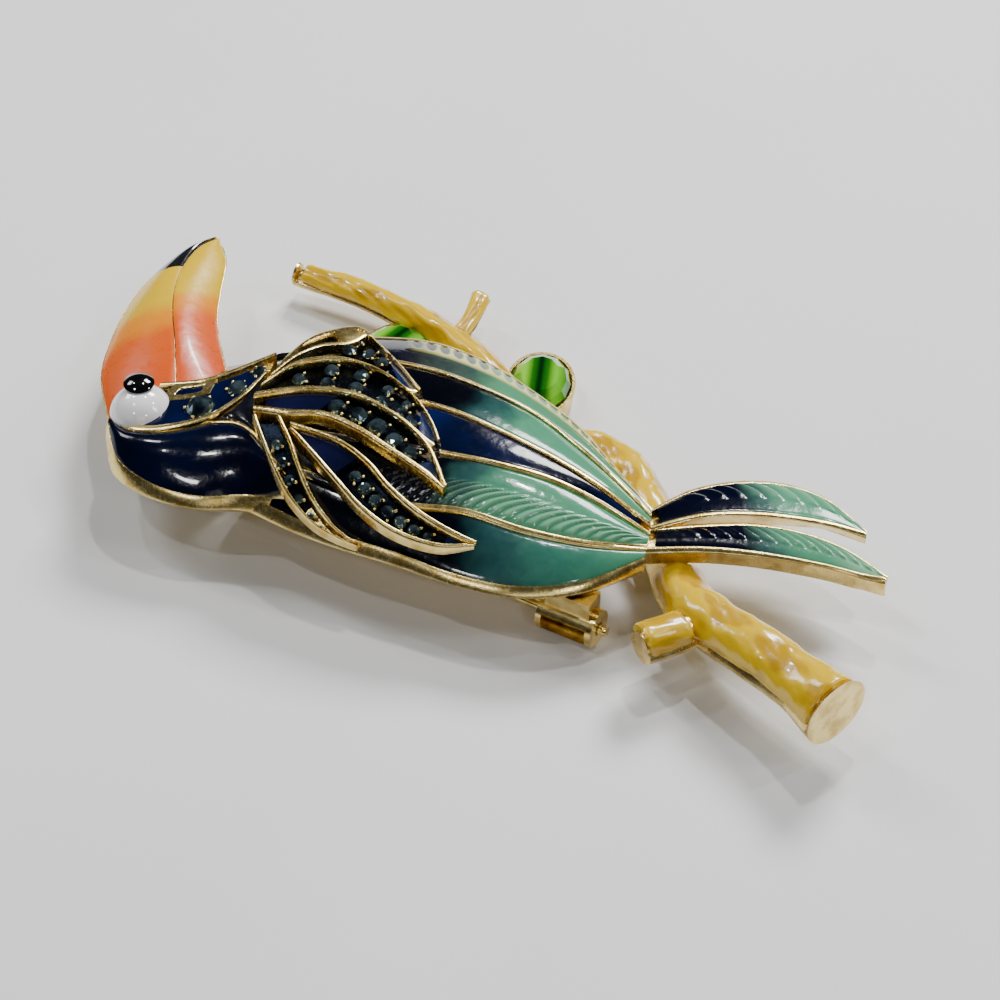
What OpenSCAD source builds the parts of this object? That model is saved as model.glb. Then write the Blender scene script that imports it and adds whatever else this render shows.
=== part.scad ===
// Figural brooch: a big-beaked bird on a branch, lying on its back.
// Gold-plated casting with enamel panels, cut stones, and a pin across the back.
// X runs from the head to the tail, Y towards the beak's tip, Z up through the face.

/* [Overall] */
// length that the plan is drawn to: one percent over the length from beak to branch end
brooch_length = 74; // [60:1:90]
// height of the highest feather rim above the surface it rests on
brooch_height = 12.5; // [12.4:0.1:14.5]
// height of the flat back above the surface, which leaves room for the pin
back_height = 5; // [4.6:0.1:5.1]

/* [Metal] */
// width of the raised gold line at a panel's edge
line_width = 0.55; // [0.4:0.05:0.8]
// width of the broad gold rim round a feather
rim_width = 0.75; // [0.6:0.05:1]
// how far a gold line stands over the enamel beside it
line_rise = 0.3; // [0.2:0.05:0.5]
// depth of the sunk floor inside a feather's rim
feather_sink = 1.0; // [0.7:0.05:1.2]
// gap between an enamel piece or a stone and the metal round it
piece_gap = 0.08; // [0.05:0.01:0.15]

/* [Enamel] */
// thickness of a panel's enamel
enamel_thickness = 0.5; // [0.4:0.05:0.7]
// rise of the big dome behind the head over its rims
nape_rise = 1.4; // [0.8:0.1:2]
// thickness of the yellow enamel on the branch
bark_thickness = 0.5; // [0.35:0.05:0.7]

/* [Eye] */
// radius of the white dome of the eye
eye_radius = 2.75; // [2.2:0.05:3]
// height of the white dome of the eye
eye_rise = 2.2; // [1.5:0.1:2.5]
// radius of the black pupil
pupil_radius = 1.35; // [1:0.05:1.6]

/* [Stones] */
// width of the largest small stone in the feathers
pave_width = 1.7; // [1.3:0.05:1.8]
// width of a green stone
green_width = 5.6; // [4.6:0.1:6]
// length of a green stone
green_length = 7.4; // [6:0.1:8]
// height of a green stone above its cup's floor
green_height = 3; // [2.4:0.1:3.4]

/* [Pin] */
// radius of the pin's wire
pin_radius = 0.42; // [0.35:0.01:0.5]
// length of the catch's barrel
catch_length = 5.2; // [4:0.1:6]
// outer radius of the catch's barrel
catch_radius = 1.7; // [1.5:0.05:2]

/* [Hidden] */
// columns of a curve's table: along and across as shares of the length, height as a share of the height
near_edge = [
    [-0.277, -0.097, 0.488],
    [-0.219, -0.115, 0.488],
    [-0.158, -0.127, 0.488],
    [-0.085, -0.135, 0.488],
    [-0.012, -0.146, 0.488],
    [0.061, -0.145, 0.488],
    [0.130, -0.118, 0.488],
    [0.186, -0.066, 0.496],
];
line_4 = [
    [-0.257, -0.057, 0.736],
    [-0.203, -0.068, 0.752],
    [-0.149, -0.077, 0.744],
    [-0.089, -0.080, 0.736],
    [-0.023, -0.072, 0.736],
    [0.049, -0.076, 0.696],
    [0.119, -0.068, 0.640],
    [0.185, -0.045, 0.560],
];
line_3 = [
    [-0.257, -0.014, 0.832],
    [-0.196, -0.011, 0.840],
    [-0.130, -0.007, 0.840],
    [-0.065, -0.008, 0.864],
    [0.000, -0.007, 0.856],
    [0.064, -0.005, 0.800],
    [0.123, -0.012, 0.704],
    [0.184, -0.024, 0.576],
];
line_2 = [
    [-0.264, 0.061, 0.856],
    [-0.203, 0.068, 0.856],
    [-0.141, 0.068, 0.864],
    [-0.073, 0.057, 0.896],
    [-0.008, 0.043, 0.864],
    [0.058, 0.027, 0.808],
    [0.120, 0.007, 0.736],
    [0.181, -0.011, 0.576],
];
line_1 = [
    [-0.270, 0.122, 0.768],
    [-0.196, 0.131, 0.808],
    [-0.119, 0.131, 0.816],
    [-0.046, 0.119, 0.792],
    [0.016, 0.103, 0.744],
    [0.072, 0.073, 0.704],
    [0.126, 0.039, 0.656],
    [0.178, 0.004, 0.576],
];
far_edge = [
    [-0.277, 0.178, 0.576],
    [-0.224, 0.205, 0.592],
    [-0.147, 0.216, 0.608],
    [-0.073, 0.200, 0.608],
    [-0.004, 0.165, 0.608],
    [0.062, 0.122, 0.608],
    [0.119, 0.070, 0.592],
    [0.176, 0.020, 0.560],
];
nape_low = [
    [-0.469, -0.043, 0.544],
    [-0.443, -0.086, 0.504],
    [-0.396, -0.109, 0.496],
    [-0.338, -0.114, 0.496],
    [-0.284, -0.101, 0.496],
    [-0.224, -0.097, 0.496],
];
nape_high = [
    [-0.466, -0.019, 0.600],
    [-0.432, -0.041, 0.688],
    [-0.385, -0.036, 0.744],
    [-0.338, -0.014, 0.784],
    [-0.295, -0.022, 0.824],
    [-0.235, -0.070, 0.752],
];
stripe_low = [
    [-0.468, -0.024, 0.640],
    [-0.428, -0.047, 0.728],
    [-0.385, -0.042, 0.784],
    [-0.345, -0.019, 0.824],
    [-0.318, 0.018, 0.864],
    [-0.303, 0.062, 0.880],
];
stripe_high = [
    [-0.426, 0.042, 0.712],
    [-0.400, 0.045, 0.752],
    [-0.376, 0.050, 0.784],
    [-0.351, 0.066, 0.808],
    [-0.331, 0.084, 0.824],
    [-0.305, 0.105, 0.848],
];
head_far = [
    [-0.492, 0.016, 0.496],
    [-0.459, 0.059, 0.608],
    [-0.412, 0.084, 0.632],
    [-0.365, 0.116, 0.600],
    [-0.318, 0.143, 0.592],
    [-0.270, 0.176, 0.576],
];
beak_left = [
    [-0.472, -0.022, 0.528],
    [-0.518, 0.064, 0.496],
    [-0.531, 0.130, 0.488],
    [-0.534, 0.195, 0.488],
    [-0.526, 0.257, 0.488],
    [-0.503, 0.309, 0.488],
    [-0.474, 0.342, 0.480],
];
beak_mid = [
    [-0.414, 0.049, 0.656],
    [-0.441, 0.119, 0.680],
    [-0.462, 0.169, 0.672],
    [-0.478, 0.219, 0.640],
    [-0.486, 0.274, 0.592],
    [-0.484, 0.318, 0.544],
    [-0.469, 0.346, 0.504],
];
beak_right = [
    [-0.364, 0.093, 0.552],
    [-0.400, 0.162, 0.528],
    [-0.419, 0.207, 0.520],
    [-0.431, 0.254, 0.512],
    [-0.442, 0.301, 0.504],
    [-0.455, 0.330, 0.496],
    [-0.464, 0.341, 0.480],
];
a_far = [
    [-0.288, 0.089, 0.912],
    [-0.274, 0.126, 0.904],
    [-0.255, 0.151, 0.888],
    [-0.224, 0.170, 0.872],
    [-0.192, 0.147, 0.896],
    [-0.157, 0.118, 0.912],
    [-0.118, 0.080, 0.920],
];
a_near = [
    [-0.297, 0.031, 0.936],
    [-0.270, 0.073, 0.952],
    [-0.219, 0.095, 0.960],
    [-0.166, 0.084, 0.968],
    [-0.141, 0.070, 0.960],
    [-0.127, 0.066, 0.944],
    [-0.122, 0.069, 0.928],
];
b_far = [
    [-0.297, 0.035, 0.944],
    [-0.270, 0.077, 0.960],
    [-0.219, 0.099, 0.968],
    [-0.166, 0.088, 0.976],
    [-0.119, 0.059, 0.960],
    [-0.091, 0.031, 0.944],
    [-0.073, 0.005, 0.928],
];
b_near = [
    [-0.300, 0.009, 0.944],
    [-0.242, 0.030, 0.984],
    [-0.185, 0.036, 0.984],
    [-0.130, 0.019, 0.968],
    [-0.103, 0.003, 0.952],
    [-0.086, -0.008, 0.936],
    [-0.077, -0.012, 0.928],
];
c_far = [
    [-0.300, 0.014, 0.952],
    [-0.242, 0.034, 0.992],
    [-0.185, 0.041, 0.992],
    [-0.130, 0.023, 0.976],
    [-0.085, -0.005, 0.944],
    [-0.062, -0.032, 0.912],
    [-0.046, -0.058, 0.880],
];
c_near = [
    [-0.292, -0.014, 0.952],
    [-0.254, -0.014, 0.976],
    [-0.214, -0.005, 0.984],
    [-0.170, -0.015, 0.976],
    [-0.128, -0.031, 0.952],
    [-0.085, -0.049, 0.920],
    [-0.049, -0.065, 0.880],
];
d_far = [
    [-0.245, -0.019, 0.952],
    [-0.184, -0.028, 0.944],
    [-0.141, -0.050, 0.928],
    [-0.108, -0.073, 0.880],
    [-0.073, -0.089, 0.816],
    [-0.035, -0.099, 0.752],
    [0.003, -0.103, 0.688],
];
d_near = [
    [-0.242, -0.031, 0.936],
    [-0.208, -0.057, 0.912],
    [-0.170, -0.084, 0.856],
    [-0.132, -0.107, 0.776],
    [-0.089, -0.120, 0.704],
    [-0.041, -0.123, 0.672],
    [0.001, -0.111, 0.672],
];
e_far = [
    [-0.257, -0.016, 0.960],
    [-0.235, -0.043, 0.928],
    [-0.215, -0.072, 0.864],
    [-0.192, -0.097, 0.768],
    [-0.165, -0.115, 0.664],
    [-0.143, -0.124, 0.616],
    [-0.128, -0.128, 0.592],
];
e_near = [
    [-0.292, -0.019, 0.936],
    [-0.273, -0.046, 0.896],
    [-0.249, -0.076, 0.816],
    [-0.222, -0.101, 0.720],
    [-0.189, -0.119, 0.632],
    [-0.158, -0.128, 0.600],
    [-0.131, -0.132, 0.584],
];
tail_far = [
    [0.174, 0.020, 0.560],
    [0.211, 0.064, 0.560],
    [0.259, 0.092, 0.560],
    [0.314, 0.103, 0.560],
    [0.368, 0.091, 0.560],
    [0.418, 0.054, 0.552],
];
tail_mid = [
    [0.184, -0.019, 0.592],
    [0.236, 0.012, 0.624],
    [0.293, 0.031, 0.624],
    [0.346, 0.039, 0.616],
    [0.384, 0.041, 0.608],
    [0.420, 0.039, 0.576],
];
tail_fork = [
    [0.181, -0.012, 0.576],
    [0.236, 0.011, 0.576],
    [0.289, 0.027, 0.576],
    [0.343, 0.030, 0.576],
    [0.400, 0.019, 0.568],
    [0.455, -0.009, 0.552],
];
tail_near = [
    [0.185, -0.050, 0.552],
    [0.249, -0.031, 0.560],
    [0.316, -0.020, 0.560],
    [0.385, -0.018, 0.560],
    [0.424, -0.022, 0.560],
    [0.454, -0.023, 0.552],
];
// columns of the branch's table: along, across, height of its axis, and its radius as a share of the length
branch = [
    [-0.373, 0.365, 0.200, 0.016],
    [-0.305, 0.355, 0.200, 0.018],
    [-0.242, 0.338, 0.200, 0.020],
    [-0.173, 0.309, 0.200, 0.021],
    [-0.100, 0.265, 0.192, 0.022],
    [-0.032, 0.203, 0.184, 0.022],
    [0.032, 0.165, 0.184, 0.022],
    [0.085, 0.159, 0.188, 0.022],
    [0.127, 0.127, 0.200, 0.026],
    [0.161, 0.074, 0.208, 0.028],
    [0.200, 0.008, 0.224, 0.030],
    [0.234, -0.059, 0.288, 0.031],
    [0.273, -0.101, 0.352, 0.032],
    [0.330, -0.135, 0.392, 0.033],
    [0.388, -0.170, 0.416, 0.034],
    [0.438, -0.205, 0.432, 0.039],
];
stub = [
    [0.259, -0.109, 0.360, 0.025],
    [0.238, -0.132, 0.368, 0.024],
    [0.215, -0.154, 0.384, 0.023],
];
twig = [
    [-0.143, 0.296, 0.200, 0.014],
    [-0.136, 0.334, 0.216, 0.012],
    [-0.134, 0.380, 0.240, 0.014],
];
// columns: place along the feather, place across it, and width as a share of pave_width
stones_a = [[0.39, 0.46, 0.80], [0.485, 0.46, 0.78], [0.58, 0.46, 0.68], [0.46, 0.73, 0.68]];
stones_b = [[0.16, 0.52, 0.80], [0.25, 0.34, 0.80], [0.28, 0.72, 0.80], [0.35, 0.32, 0.84], [0.39, 0.72, 0.82],
            [0.455, 0.31, 0.77], [0.50, 0.66, 0.68], [0.555, 0.30, 0.70], [0.605, 0.66, 0.56], [0.65, 0.32, 0.54]];
stones_c = [[0.33, 0.50, 0.98], [0.42, 0.49, 1.02], [0.515, 0.48, 1.04], [0.61, 0.45, 0.96], [0.70, 0.47, 0.86]];
stones_d = [[0.345, 0.55, 0.70], [0.417, 0.54, 0.74], [0.491, 0.54, 0.74], [0.565, 0.53, 0.74],
            [0.638, 0.53, 0.70], [0.708, 0.53, 0.66], [0.774, 0.54, 0.56]];
stones_e = [[0.17, 0.53, 0.62], [0.27, 0.54, 0.64], [0.37, 0.55, 0.62], [0.47, 0.57, 0.54],
            [0.57, 0.58, 0.42], [0.65, 0.60, 0.26]];
// columns of the head stones: along, across, height, and width as a share of pave_width
stone_large = [-0.362, -0.001, 0.80, 1.55];
stone_mid = [-0.328, 0.035, 0.83, 1.15];
stone_small = [-0.312, 0.066, 0.85, 0.80];

// the plan's middle is moved to the origin by these shares of the length
shift_x = 0.0371;
shift_y = -0.0724;
flat = 0.001;
panel_end = 0.985;
bead_radius = 0.2;
// height of a cut stone over its widest line, and its depth under it, as shares of its width
stone_crown = 0.30;
stone_depth = 0.22;
edge_rise = 0.12;
body_rises = [0.5, 0.5, 0.15, 0.35, 0.35];
beak_rises = [0.4, 0.5];
tail_rise = 0.35;
steps = 14;
limb_rings = 24;
panel_sink = enamel_thickness + piece_gap;
plate = 0.3;
narrow_rim = rim_width * 0.6;
// how far the walls under the body, nape and beak draw in
wall_draw = 0.8;
bottom = back_height + plate / 2;
// the first and last station of each colour along the beak, of the throat and of the feathers' enamel
beak_base_upper_end = 4;
beak_base_lower_end = 5;
beak_tip_start = 9;
throat_start = 7;
feather_start = 1;
feather_base_end = 4;
tip_start_ab = 10;
tip_start_ce = 11;
tip_start_d = 12;
skin_end = steps - 1;
// start and end of the bark enamel along the branch, in its rings, and along its two short limbs
bark_far_span = [0.4, 8.2];
bark_middle_span = [8.4, 16];
bark_near_span = [16.9, 23.7];
twig_span = [0.4, 1.94];
stub_span = [0.6, 1.94];
// the pin's block: along the wire, across it, and how far it lies back from the wire's end
block_length = 2.8;
block_width = 2.2;
block_back = 1.2;
// how far the wire runs past the catch, and the room round it in the catch
pin_past_catch = 0.8;
pin_room = 0.2;
// the catch's foot: its margin at each end, and its two sides from the middle in the catch's radii
foot_margin = 0.5;
foot_side = 0.5;
foot_width = 1.2;
// the catch's window, in its length and radius
window_length = 0.8;
window_height = 1;
pin_y = -0.0965 * brooch_length;
pin_turn = -13;
pin_z = catch_radius;
catch_x = 0.080 * brooch_length;
hinge_x = -0.30 * brooch_length;
eye_at = [-0.436, -0.006, 0.69];
pupil_at = [-0.441, 0.006];
// columns of a green stone's row: along, across, its turn, and how far across its bar reaches the back
green_near = [-0.022, 0.255, 10, 0.19];
green_far = [-0.215, 0.262, -25, 0.17];
cup_floor = 0.9;
cup_foot = 1.04;
cup_lip = 1.16;
bar_radius = 1.2;

// Curves and surfaces worked out from the tables.

function blend(p0, p1, p2, p3, t) =
    0.5 * ((2 * p1) + (p2 - p0) * t + (2 * p0 - 5 * p1 + 4 * p2 - p3) * t * t
           + (3 * p1 - p0 - 3 * p2 + p3) * t * t * t);

function sized(row) = [row[0] * brooch_length, row[1] * brooch_length, row[2] * brooch_height];

// a point of a table's smooth curve, u from 0 at its first row to 1 at its last
function at(table, u) =
    let (last = len(table) - 1,
         s = max(0, min(u * last, last - flat)),
         i = floor(s))
    blend(sized(table[max(i - 1, 0)]), sized(table[i]), sized(table[i + 1]),
          sized(table[min(i + 2, last)]), s - i);

function radius_at(table, u) =
    let (last = len(table) - 1,
         s = max(0, min(u * last, last - flat)),
         i = floor(s))
    (table[i][3] + (table[i + 1][3] - table[i][3]) * (s - i)) * brooch_length;

function plan_of(p) = [p[0], p[1]];
function mix(a, b, t) = a + (b - a) * t;

// a point between two curves, domed by rise
function between(a, b, u, v, rise) = mix(at(a, u), at(b, u), v) + [0, 0, 4 * rise * v * (1 - v)];

// share of the width that an inset in millimetres takes at u
function inset_share(a, b, u, inset) =
    min(0.44, inset / max(0.2, norm(plan_of(at(b, u) - at(a, u)))));

// closed solid between two grids of points with the same rows and columns
module slab(top, under) {
    rows = len(top);
    cols = len(top[0]);
    count = rows * cols;
    points = concat([for (r = top) each r], [for (r = under) each r]);
    faces = concat(
        [for (i = [0 : rows - 2], j = [0 : cols - 2]) each [
            [i * cols + j, i * cols + j + 1, (i + 1) * cols + j + 1],
            [i * cols + j, (i + 1) * cols + j + 1, (i + 1) * cols + j]]],
        [for (i = [0 : rows - 2], j = [0 : cols - 2]) each [
            [count + i * cols + j, count + (i + 1) * cols + j + 1, count + i * cols + j + 1],
            [count + i * cols + j, count + (i + 1) * cols + j, count + (i + 1) * cols + j + 1]]],
        [for (i = [0 : rows - 2]) each [
            [i * cols, (i + 1) * cols, count + (i + 1) * cols],
            [i * cols, count + (i + 1) * cols, count + i * cols],
            [i * cols + cols - 1, count + (i + 1) * cols + cols - 1, (i + 1) * cols + cols - 1],
            [i * cols + cols - 1, count + i * cols + cols - 1, count + (i + 1) * cols + cols - 1]]],
        [for (j = [0 : cols - 2]) each [
            [j, count + j + 1, j + 1],
            [j, count + j, count + j + 1],
            [(rows - 1) * cols + j, (rows - 1) * cols + j + 1, count + (rows - 1) * cols + j + 1],
            [(rows - 1) * cols + j, count + (rows - 1) * cols + j + 1, count + (rows - 1) * cols + j]]]
    );
    polyhedron(points, faces, convexity = 8);
}

// closed solid from a grid of points down into the back plate, its walls drawn in under its sides
module pillar(top, draw = 0) {
    rows = len(top);
    cols = len(top[0]);
    count = rows * cols;
    rim = concat([for (j = [0 : cols - 2]) j],
                 [for (i = [0 : rows - 2]) i * cols + cols - 1],
                 [for (j = [cols - 1 : -1 : 1]) (rows - 1) * cols + j],
                 [for (i = [rows - 1 : -1 : 1]) i * cols]);
    edge = len(rim);
    flat_top = [for (r = top, p = r) [p[0], p[1], max(p[2], bottom + plate)]];
    faces = concat(
        [for (i = [0 : rows - 2], j = [0 : cols - 2]) each [
            [i * cols + j, i * cols + j + 1, (i + 1) * cols + j + 1],
            [i * cols + j, (i + 1) * cols + j + 1, (i + 1) * cols + j]]],
        [for (k = [0 : edge - 1]) each [
            [rim[k], count + k, count + (k + 1) % edge],
            [rim[k], count + (k + 1) % edge, rim[(k + 1) % edge]]]],
        [[for (k = [edge - 1 : -1 : 0]) count + k]]);
    foot = [for (k = rim)
        let (first = k - k % cols,
             middle = plan_of(flat_top[first] + flat_top[first + cols - 1]) / 2,
             way = middle - plan_of(flat_top[k]),
             reach = norm(way))
        plan_of(flat_top[k]) + way * min(draw / max(reach, flat), 0.4)];
    polyhedron(concat(flat_top, [for (p = foot) [p[0], p[1], bottom]]), faces, convexity = 8);
}

// metal between two curves, drawn in at both sides, up to their surface less the sink
module bed(a, b, rise, sink, inset, n = steps, across = 2) {
    grid = [for (i = [0 : n]) [for (j = [0 : across])
        let (e = inset_share(a, b, i / n, inset))
        between(a, b, i / n, mix(e, 1 - e, j / across), rise) - [0, 0, sink]]];
    pillar(grid);
}

// one row of points over a panel: its first line's inner half, the sunk floor, its last line's inner half
function panel_row(a, b, u, rise, sink, w0, w1, up0, up1, across) =
    let (e0 = inset_share(a, b, u, w0), e1 = inset_share(a, b, u, w1))
    concat([between(a, b, u, e0 * 0.55, rise) + [0, 0, up0]],
           [for (j = [0 : across]) between(a, b, u, mix(e0, 1 - e1, j / across), rise) - [0, 0, sink]],
           [between(a, b, u, 1 - e1 * 0.55, rise) + [0, 0, up1]]);

// metal under a row of panels with a raised gold line at each curve
module relief(curves, rises, sink, rim0, rim1, up = line_rise, n = steps, across = 3, draw = 0) {
    last = len(curves) - 1;
    grid = [for (i = [0 : n]) let (u = i / n) concat(
        [at(curves[0], u) + [0, 0, min(up, edge_rise)]],
        [for (k = [0 : last - 1])
            each panel_row(curves[k], curves[k + 1], u, rises[k], sink,
                           k == 0 ? rim0 : line_width / 2, k == last - 1 ? rim1 : line_width / 2,
                           k == 0 ? min(up, edge_rise) : up, k == last - 1 ? min(up, edge_rise) : up,
                           across)],
        [at(curves[last], u) + [0, 0, min(up, edge_rise)]])];
    pillar(grid, draw);
}

// enamel on a panel from one station to another, drawn in by w0 and w1 from its two curves
module skin(a, b, rise, from, to, w0, w1, sink = 0, across = 3) {
    grid = [for (i = [from : to])
        let (u = min(i / steps, panel_end),
             e0 = inset_share(a, b, u, w0 + piece_gap),
             e1 = inset_share(a, b, u, w1 + piece_gap))
        [for (j = [0 : across])
            let (p = between(a, b, u, mix(e0, 1 - e1, j / across), rise) - [0, 0, sink])
                [p[0], p[1], max(p[2], bottom + plate + piece_gap + enamel_thickness)]]];
    slab(grid, [for (r = grid) [for (p = r) p - [0, 0, enamel_thickness]]]);
}

// sideways direction of a curve in plan
function side_of(a, u) =
    let (d = at(a, min(1, u + 0.01)) - at(a, max(0, u - 0.01)),
         l = max(flat, norm(plan_of(d))))
    [-d[1] / l, d[0] / l, 0];

// one ring of points round a limb's axis at ring number i of n, from angle 15 up by 30 degrees;
// its upper six points are drawn in by less, to make room for enamel
function ring(table, i, n, less, count = 12) =
    let (p = at(table, i / n), s = side_of(table, i / n), r = radius_at(table, i / n))
    [for (k = [0 : count - 1])
        p + (s * cos(15 + 30 * k) + [0, 0, 1] * sin(15 + 30 * k)) * (k < 6 ? r - less : r)];

// a ring between two of a limb's rings, on the straight lines that join them
function part_ring(table, s, n, less) =
    let (i = floor(s), a = ring(table, i, n, less, 6), b = ring(table, min(i + 1, n), n, less, 6))
    [for (k = [5 : -1 : 0]) mix(a[k], b[k], s - i)];

// a limb's metal core, closed at both ends
module limb(table, less, n) {
    rings = [for (i = [0 : n]) ring(table, i, n, less)];
    faces = concat(
        [for (i = [0 : n - 1], k = [0 : 11]) each [
            [i * 12 + k, (i + 1) * 12 + (k + 1) % 12, i * 12 + (k + 1) % 12],
            [i * 12 + k, (i + 1) * 12 + k, (i + 1) * 12 + (k + 1) % 12]]],
        [[for (k = [0 : 11]) k]],
        [[for (k = [11 : -1 : 0]) n * 12 + k]]);
    polyhedron([for (r = rings) each r], faces, convexity = 6);
}

// enamel over the upper side of a limb of n rings, along a span counted in rings
module bark(table, span, n) {
    places = concat([span[0]], [for (i = [floor(span[0]) + 1 : ceil(span[1]) - 1]) i], [span[1]]);
    slab([for (s = places) part_ring(table, s, n, 0)],
         [for (s = places) part_ring(table, s, n, bark_thickness)]);
}

// outline in plan between two curves
module outline(a, b, n = steps) {
    polygon(concat([for (i = [0 : n]) plan_of(at(a, i / n))],
                   [for (i = [n : -1 : 0]) plan_of(at(b, i / n))]));
}

// upright block over a plan outline, used to keep enamel clear of the metal
module block(grow) {
    translate([0, 0, -1])
        linear_extrude(brooch_height * 2)
            offset(delta = grow)
                children();
}

module feather_plan() {
    outline(b_far, a_far);
    outline(b_near, b_far);
    outline(c_near, c_far);
    outline(d_near, d_far);
    outline(e_near, e_far);
    polygon([for (t = [[a_far, 0], [a_far, 0.2], [b_far, 0.15], [c_far, 0.2], [c_near, 0.35], [d_far, 0],
                       [d_near, 0], [e_far, 0.2], [e_near, 0.1], [e_near, 0], [b_near, 0]])
             plan_of(at(t[0], t[1]))]);
}

module body_plan() {
    outline(near_edge, far_edge);
    outline(nape_low, nape_high);
    outline(stripe_low, head_far);
    outline(beak_left, beak_right);
    outline(tail_near, tail_far);
    feather_plan();
}

// a cut stone with a table, eight crown facets and a blunt pavilion
module cut_stone(w) {
    cylinder(h = stone_crown * w, d1 = w, d2 = 0.56 * w, $fn = 8);
    rotate([180, 0, 0]) cylinder(h = stone_depth * w, d1 = w, d2 = 0.4 * w, $fn = 8);
}

// the small stones of one feather, square to its sunk floor
module pave(a, b, table) {
    for (s = table) {
        p = between(a, b, s[0], s[1], 0);
        along = between(a, b, min(1, s[0] + 0.02), s[1], 0) - between(a, b, s[0] - 0.02, s[1], 0);
        up = cross(along, at(b, s[0]) - at(a, s[0]));
        t = along / norm(along);
        n = up / norm(up);
        side = cross(n, t);
        w = s[2] * pave_width;
        q = p - [0, 0, feather_sink] + n * (stone_depth * w + 2 * piece_gap);
        multmatrix([[t[0], side[0], n[0], q[0]],
                    [t[1], side[1], n[1], q[1]],
                    [t[2], side[2], n[2], q[2]]])
            cut_stone(w);
    }
}

module green_cut() {
    for (k = [0, 1])
        mirror([0, 0, k])
            linear_extrude(height = green_height * (k == 0 ? 0.38 : 0.5), scale = k == 0 ? 0.62 : 0.45)
                scale([green_width / green_length, 1])
                    circle(d = green_length, $fn = 12);
}

module green_place(row) {
    translate([row[0] * brooch_length, row[1] * brooch_length, 0])
        rotate([0, 0, row[2]])
            children();
}

// the outline of a green stone's cup, grown all round
module green_round(share, grow, sides) {
    scale([green_width / green_length, 1])
        circle(d = green_length * share + 2 * grow, $fn = sides);
}

// The casting: everything that is one piece of gold-plated metal.

module reliefs() {
    relief([near_edge, line_4, line_3, line_2, line_1, far_edge], body_rises, panel_sink, rim_width, rim_width,
           draw = wall_draw);
    relief([nape_low, nape_high], [nape_rise], panel_sink, rim_width, line_width, up = 0.1, across = 4,
           draw = wall_draw);
    bed(stripe_low, head_far, 0.1, panel_sink, 0.3);
    relief([stripe_low, stripe_high], [0], panel_sink, rim_width, line_width, up = 0.1, across = 1);
    relief([beak_right, beak_mid, beak_left], beak_rises, panel_sink, line_width / 2, line_width / 2, up = 0.02,
           draw = wall_draw);
    relief([tail_mid, tail_far], [tail_rise], panel_sink, line_width, line_width);
    relief([tail_near, tail_fork], [tail_rise], panel_sink, line_width, line_width);
    relief([a_near, a_far], [0], feather_sink, rim_width, rim_width, up = 0, across = 1);
    relief([b_near, b_far], [0], feather_sink, rim_width, narrow_rim, up = 0, across = 1);
    relief([c_near, c_far], [0], feather_sink, rim_width, narrow_rim, up = 0, across = 1);
    relief([d_near, d_far], [0], feather_sink, narrow_rim, narrow_rim, up = 0, across = 1, draw = wall_draw);
    relief([e_near, e_far], [0], feather_sink, narrow_rim, narrow_rim, up = 0, across = 1, draw = wall_draw / 2);
}

// the flat back plate that joins the reliefs
module back_plate() {
    translate([0, 0, back_height])
        linear_extrude(height = plate)
            offset(delta = -wall_draw)
                body_plan();
}

module cup_ring(share, z) {
    translate([0, 0, z])
        linear_extrude(height = flat)
            green_round(share, 0, 16);
}

module cups() {
    for (s = [green_near, green_far])
        green_place(s)
            hull() {
                cup_ring(cup_foot, 0);
                cup_ring(cup_lip, green_height * 0.8);
            }
    bars(0);
}

// plain bars that carry the cups from the back
module bars(grow) {
    for (s = [green_near, green_far])
        hull() {
            translate([s[0] * brooch_length, s[1] * brooch_length - green_length / 2, bar_radius / 2])
                cylinder(r = bar_radius + grow, h = bar_radius + grow, $fn = 8);
            translate([s[0] * brooch_length, s[3] * brooch_length - bar_radius, back_height - 1])
                cylinder(r = bar_radius + grow, h = bar_radius + grow, $fn = 8);
        }
}

// gold beads that hold the small stones along a feather's rim
module beads() {
    for (f = [[b_near, b_far, 0.08], [c_near, c_far, 0.08], [d_near, d_far, 0.94], [e_near, e_far, 0.07]])
        for (u = [0.3 : 0.12 : 0.72]) {
            p = between(f[0], f[1], u, f[2], 0);
            hull() {
                translate(p - [0, 0, 0.7]) cylinder(r = bead_radius, h = 0.7, $fn = 6);
                translate(p) cylinder(r = bead_radius * 0.5, h = 0.25, $fn = 6);
            }
        }
}

module casting() {
    color([0.83, 0.70, 0.42])
        difference() {
            union() {
                back_plate();
                reliefs();
                cups();
                limb(branch, bark_thickness + piece_gap, limb_rings);
                limb(stub, bark_thickness + piece_gap, 2);
                limb(twig, bark_thickness + piece_gap, 2);
                beads();
            }
            for (s = [green_near, green_far])
                green_place(s)
                    translate([0, 0, cup_floor])
                        linear_extrude(height = brooch_height)
                            green_round(1, piece_gap, 12);
            translate([0, 0, -piece_gap]) eye_seat(piece_gap);
            head_seats(piece_gap);
        }
}

// Enamel.

module over_panel(a, b, rise, from, to, w0 = line_width / 2, w1 = line_width / 2) {
    difference() {
        skin(a, b, rise, from, to, w0, w1);
        block(piece_gap) feather_plan();
    }
}

module nape_enamel() {
    color([0.06, 0.09, 0.22])
        difference() {
            skin(nape_low, nape_high, nape_rise, 0, steps, rim_width, line_width, across = 4);
            eye_clearance();
            block(piece_gap) {
                feather_plan();
                outline(stripe_low, stripe_high);
            }
        }
}

module panel_far() {
    color([0.30, 0.52, 0.47]) over_panel(line_1, far_edge, body_rises[4], 1, steps, w1 = rim_width);
}

module panel_second() {
    color([0.31, 0.60, 0.52]) over_panel(line_2, line_1, body_rises[3], 1, steps);
}

module panel_stripe() {
    color([0.06, 0.10, 0.25]) over_panel(line_3, line_2, body_rises[2], 1, steps - 3);
}

module panel_main() {
    color([0.16, 0.38, 0.38]) over_panel(line_4, line_3, body_rises[1], 1, steps);
}

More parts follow.
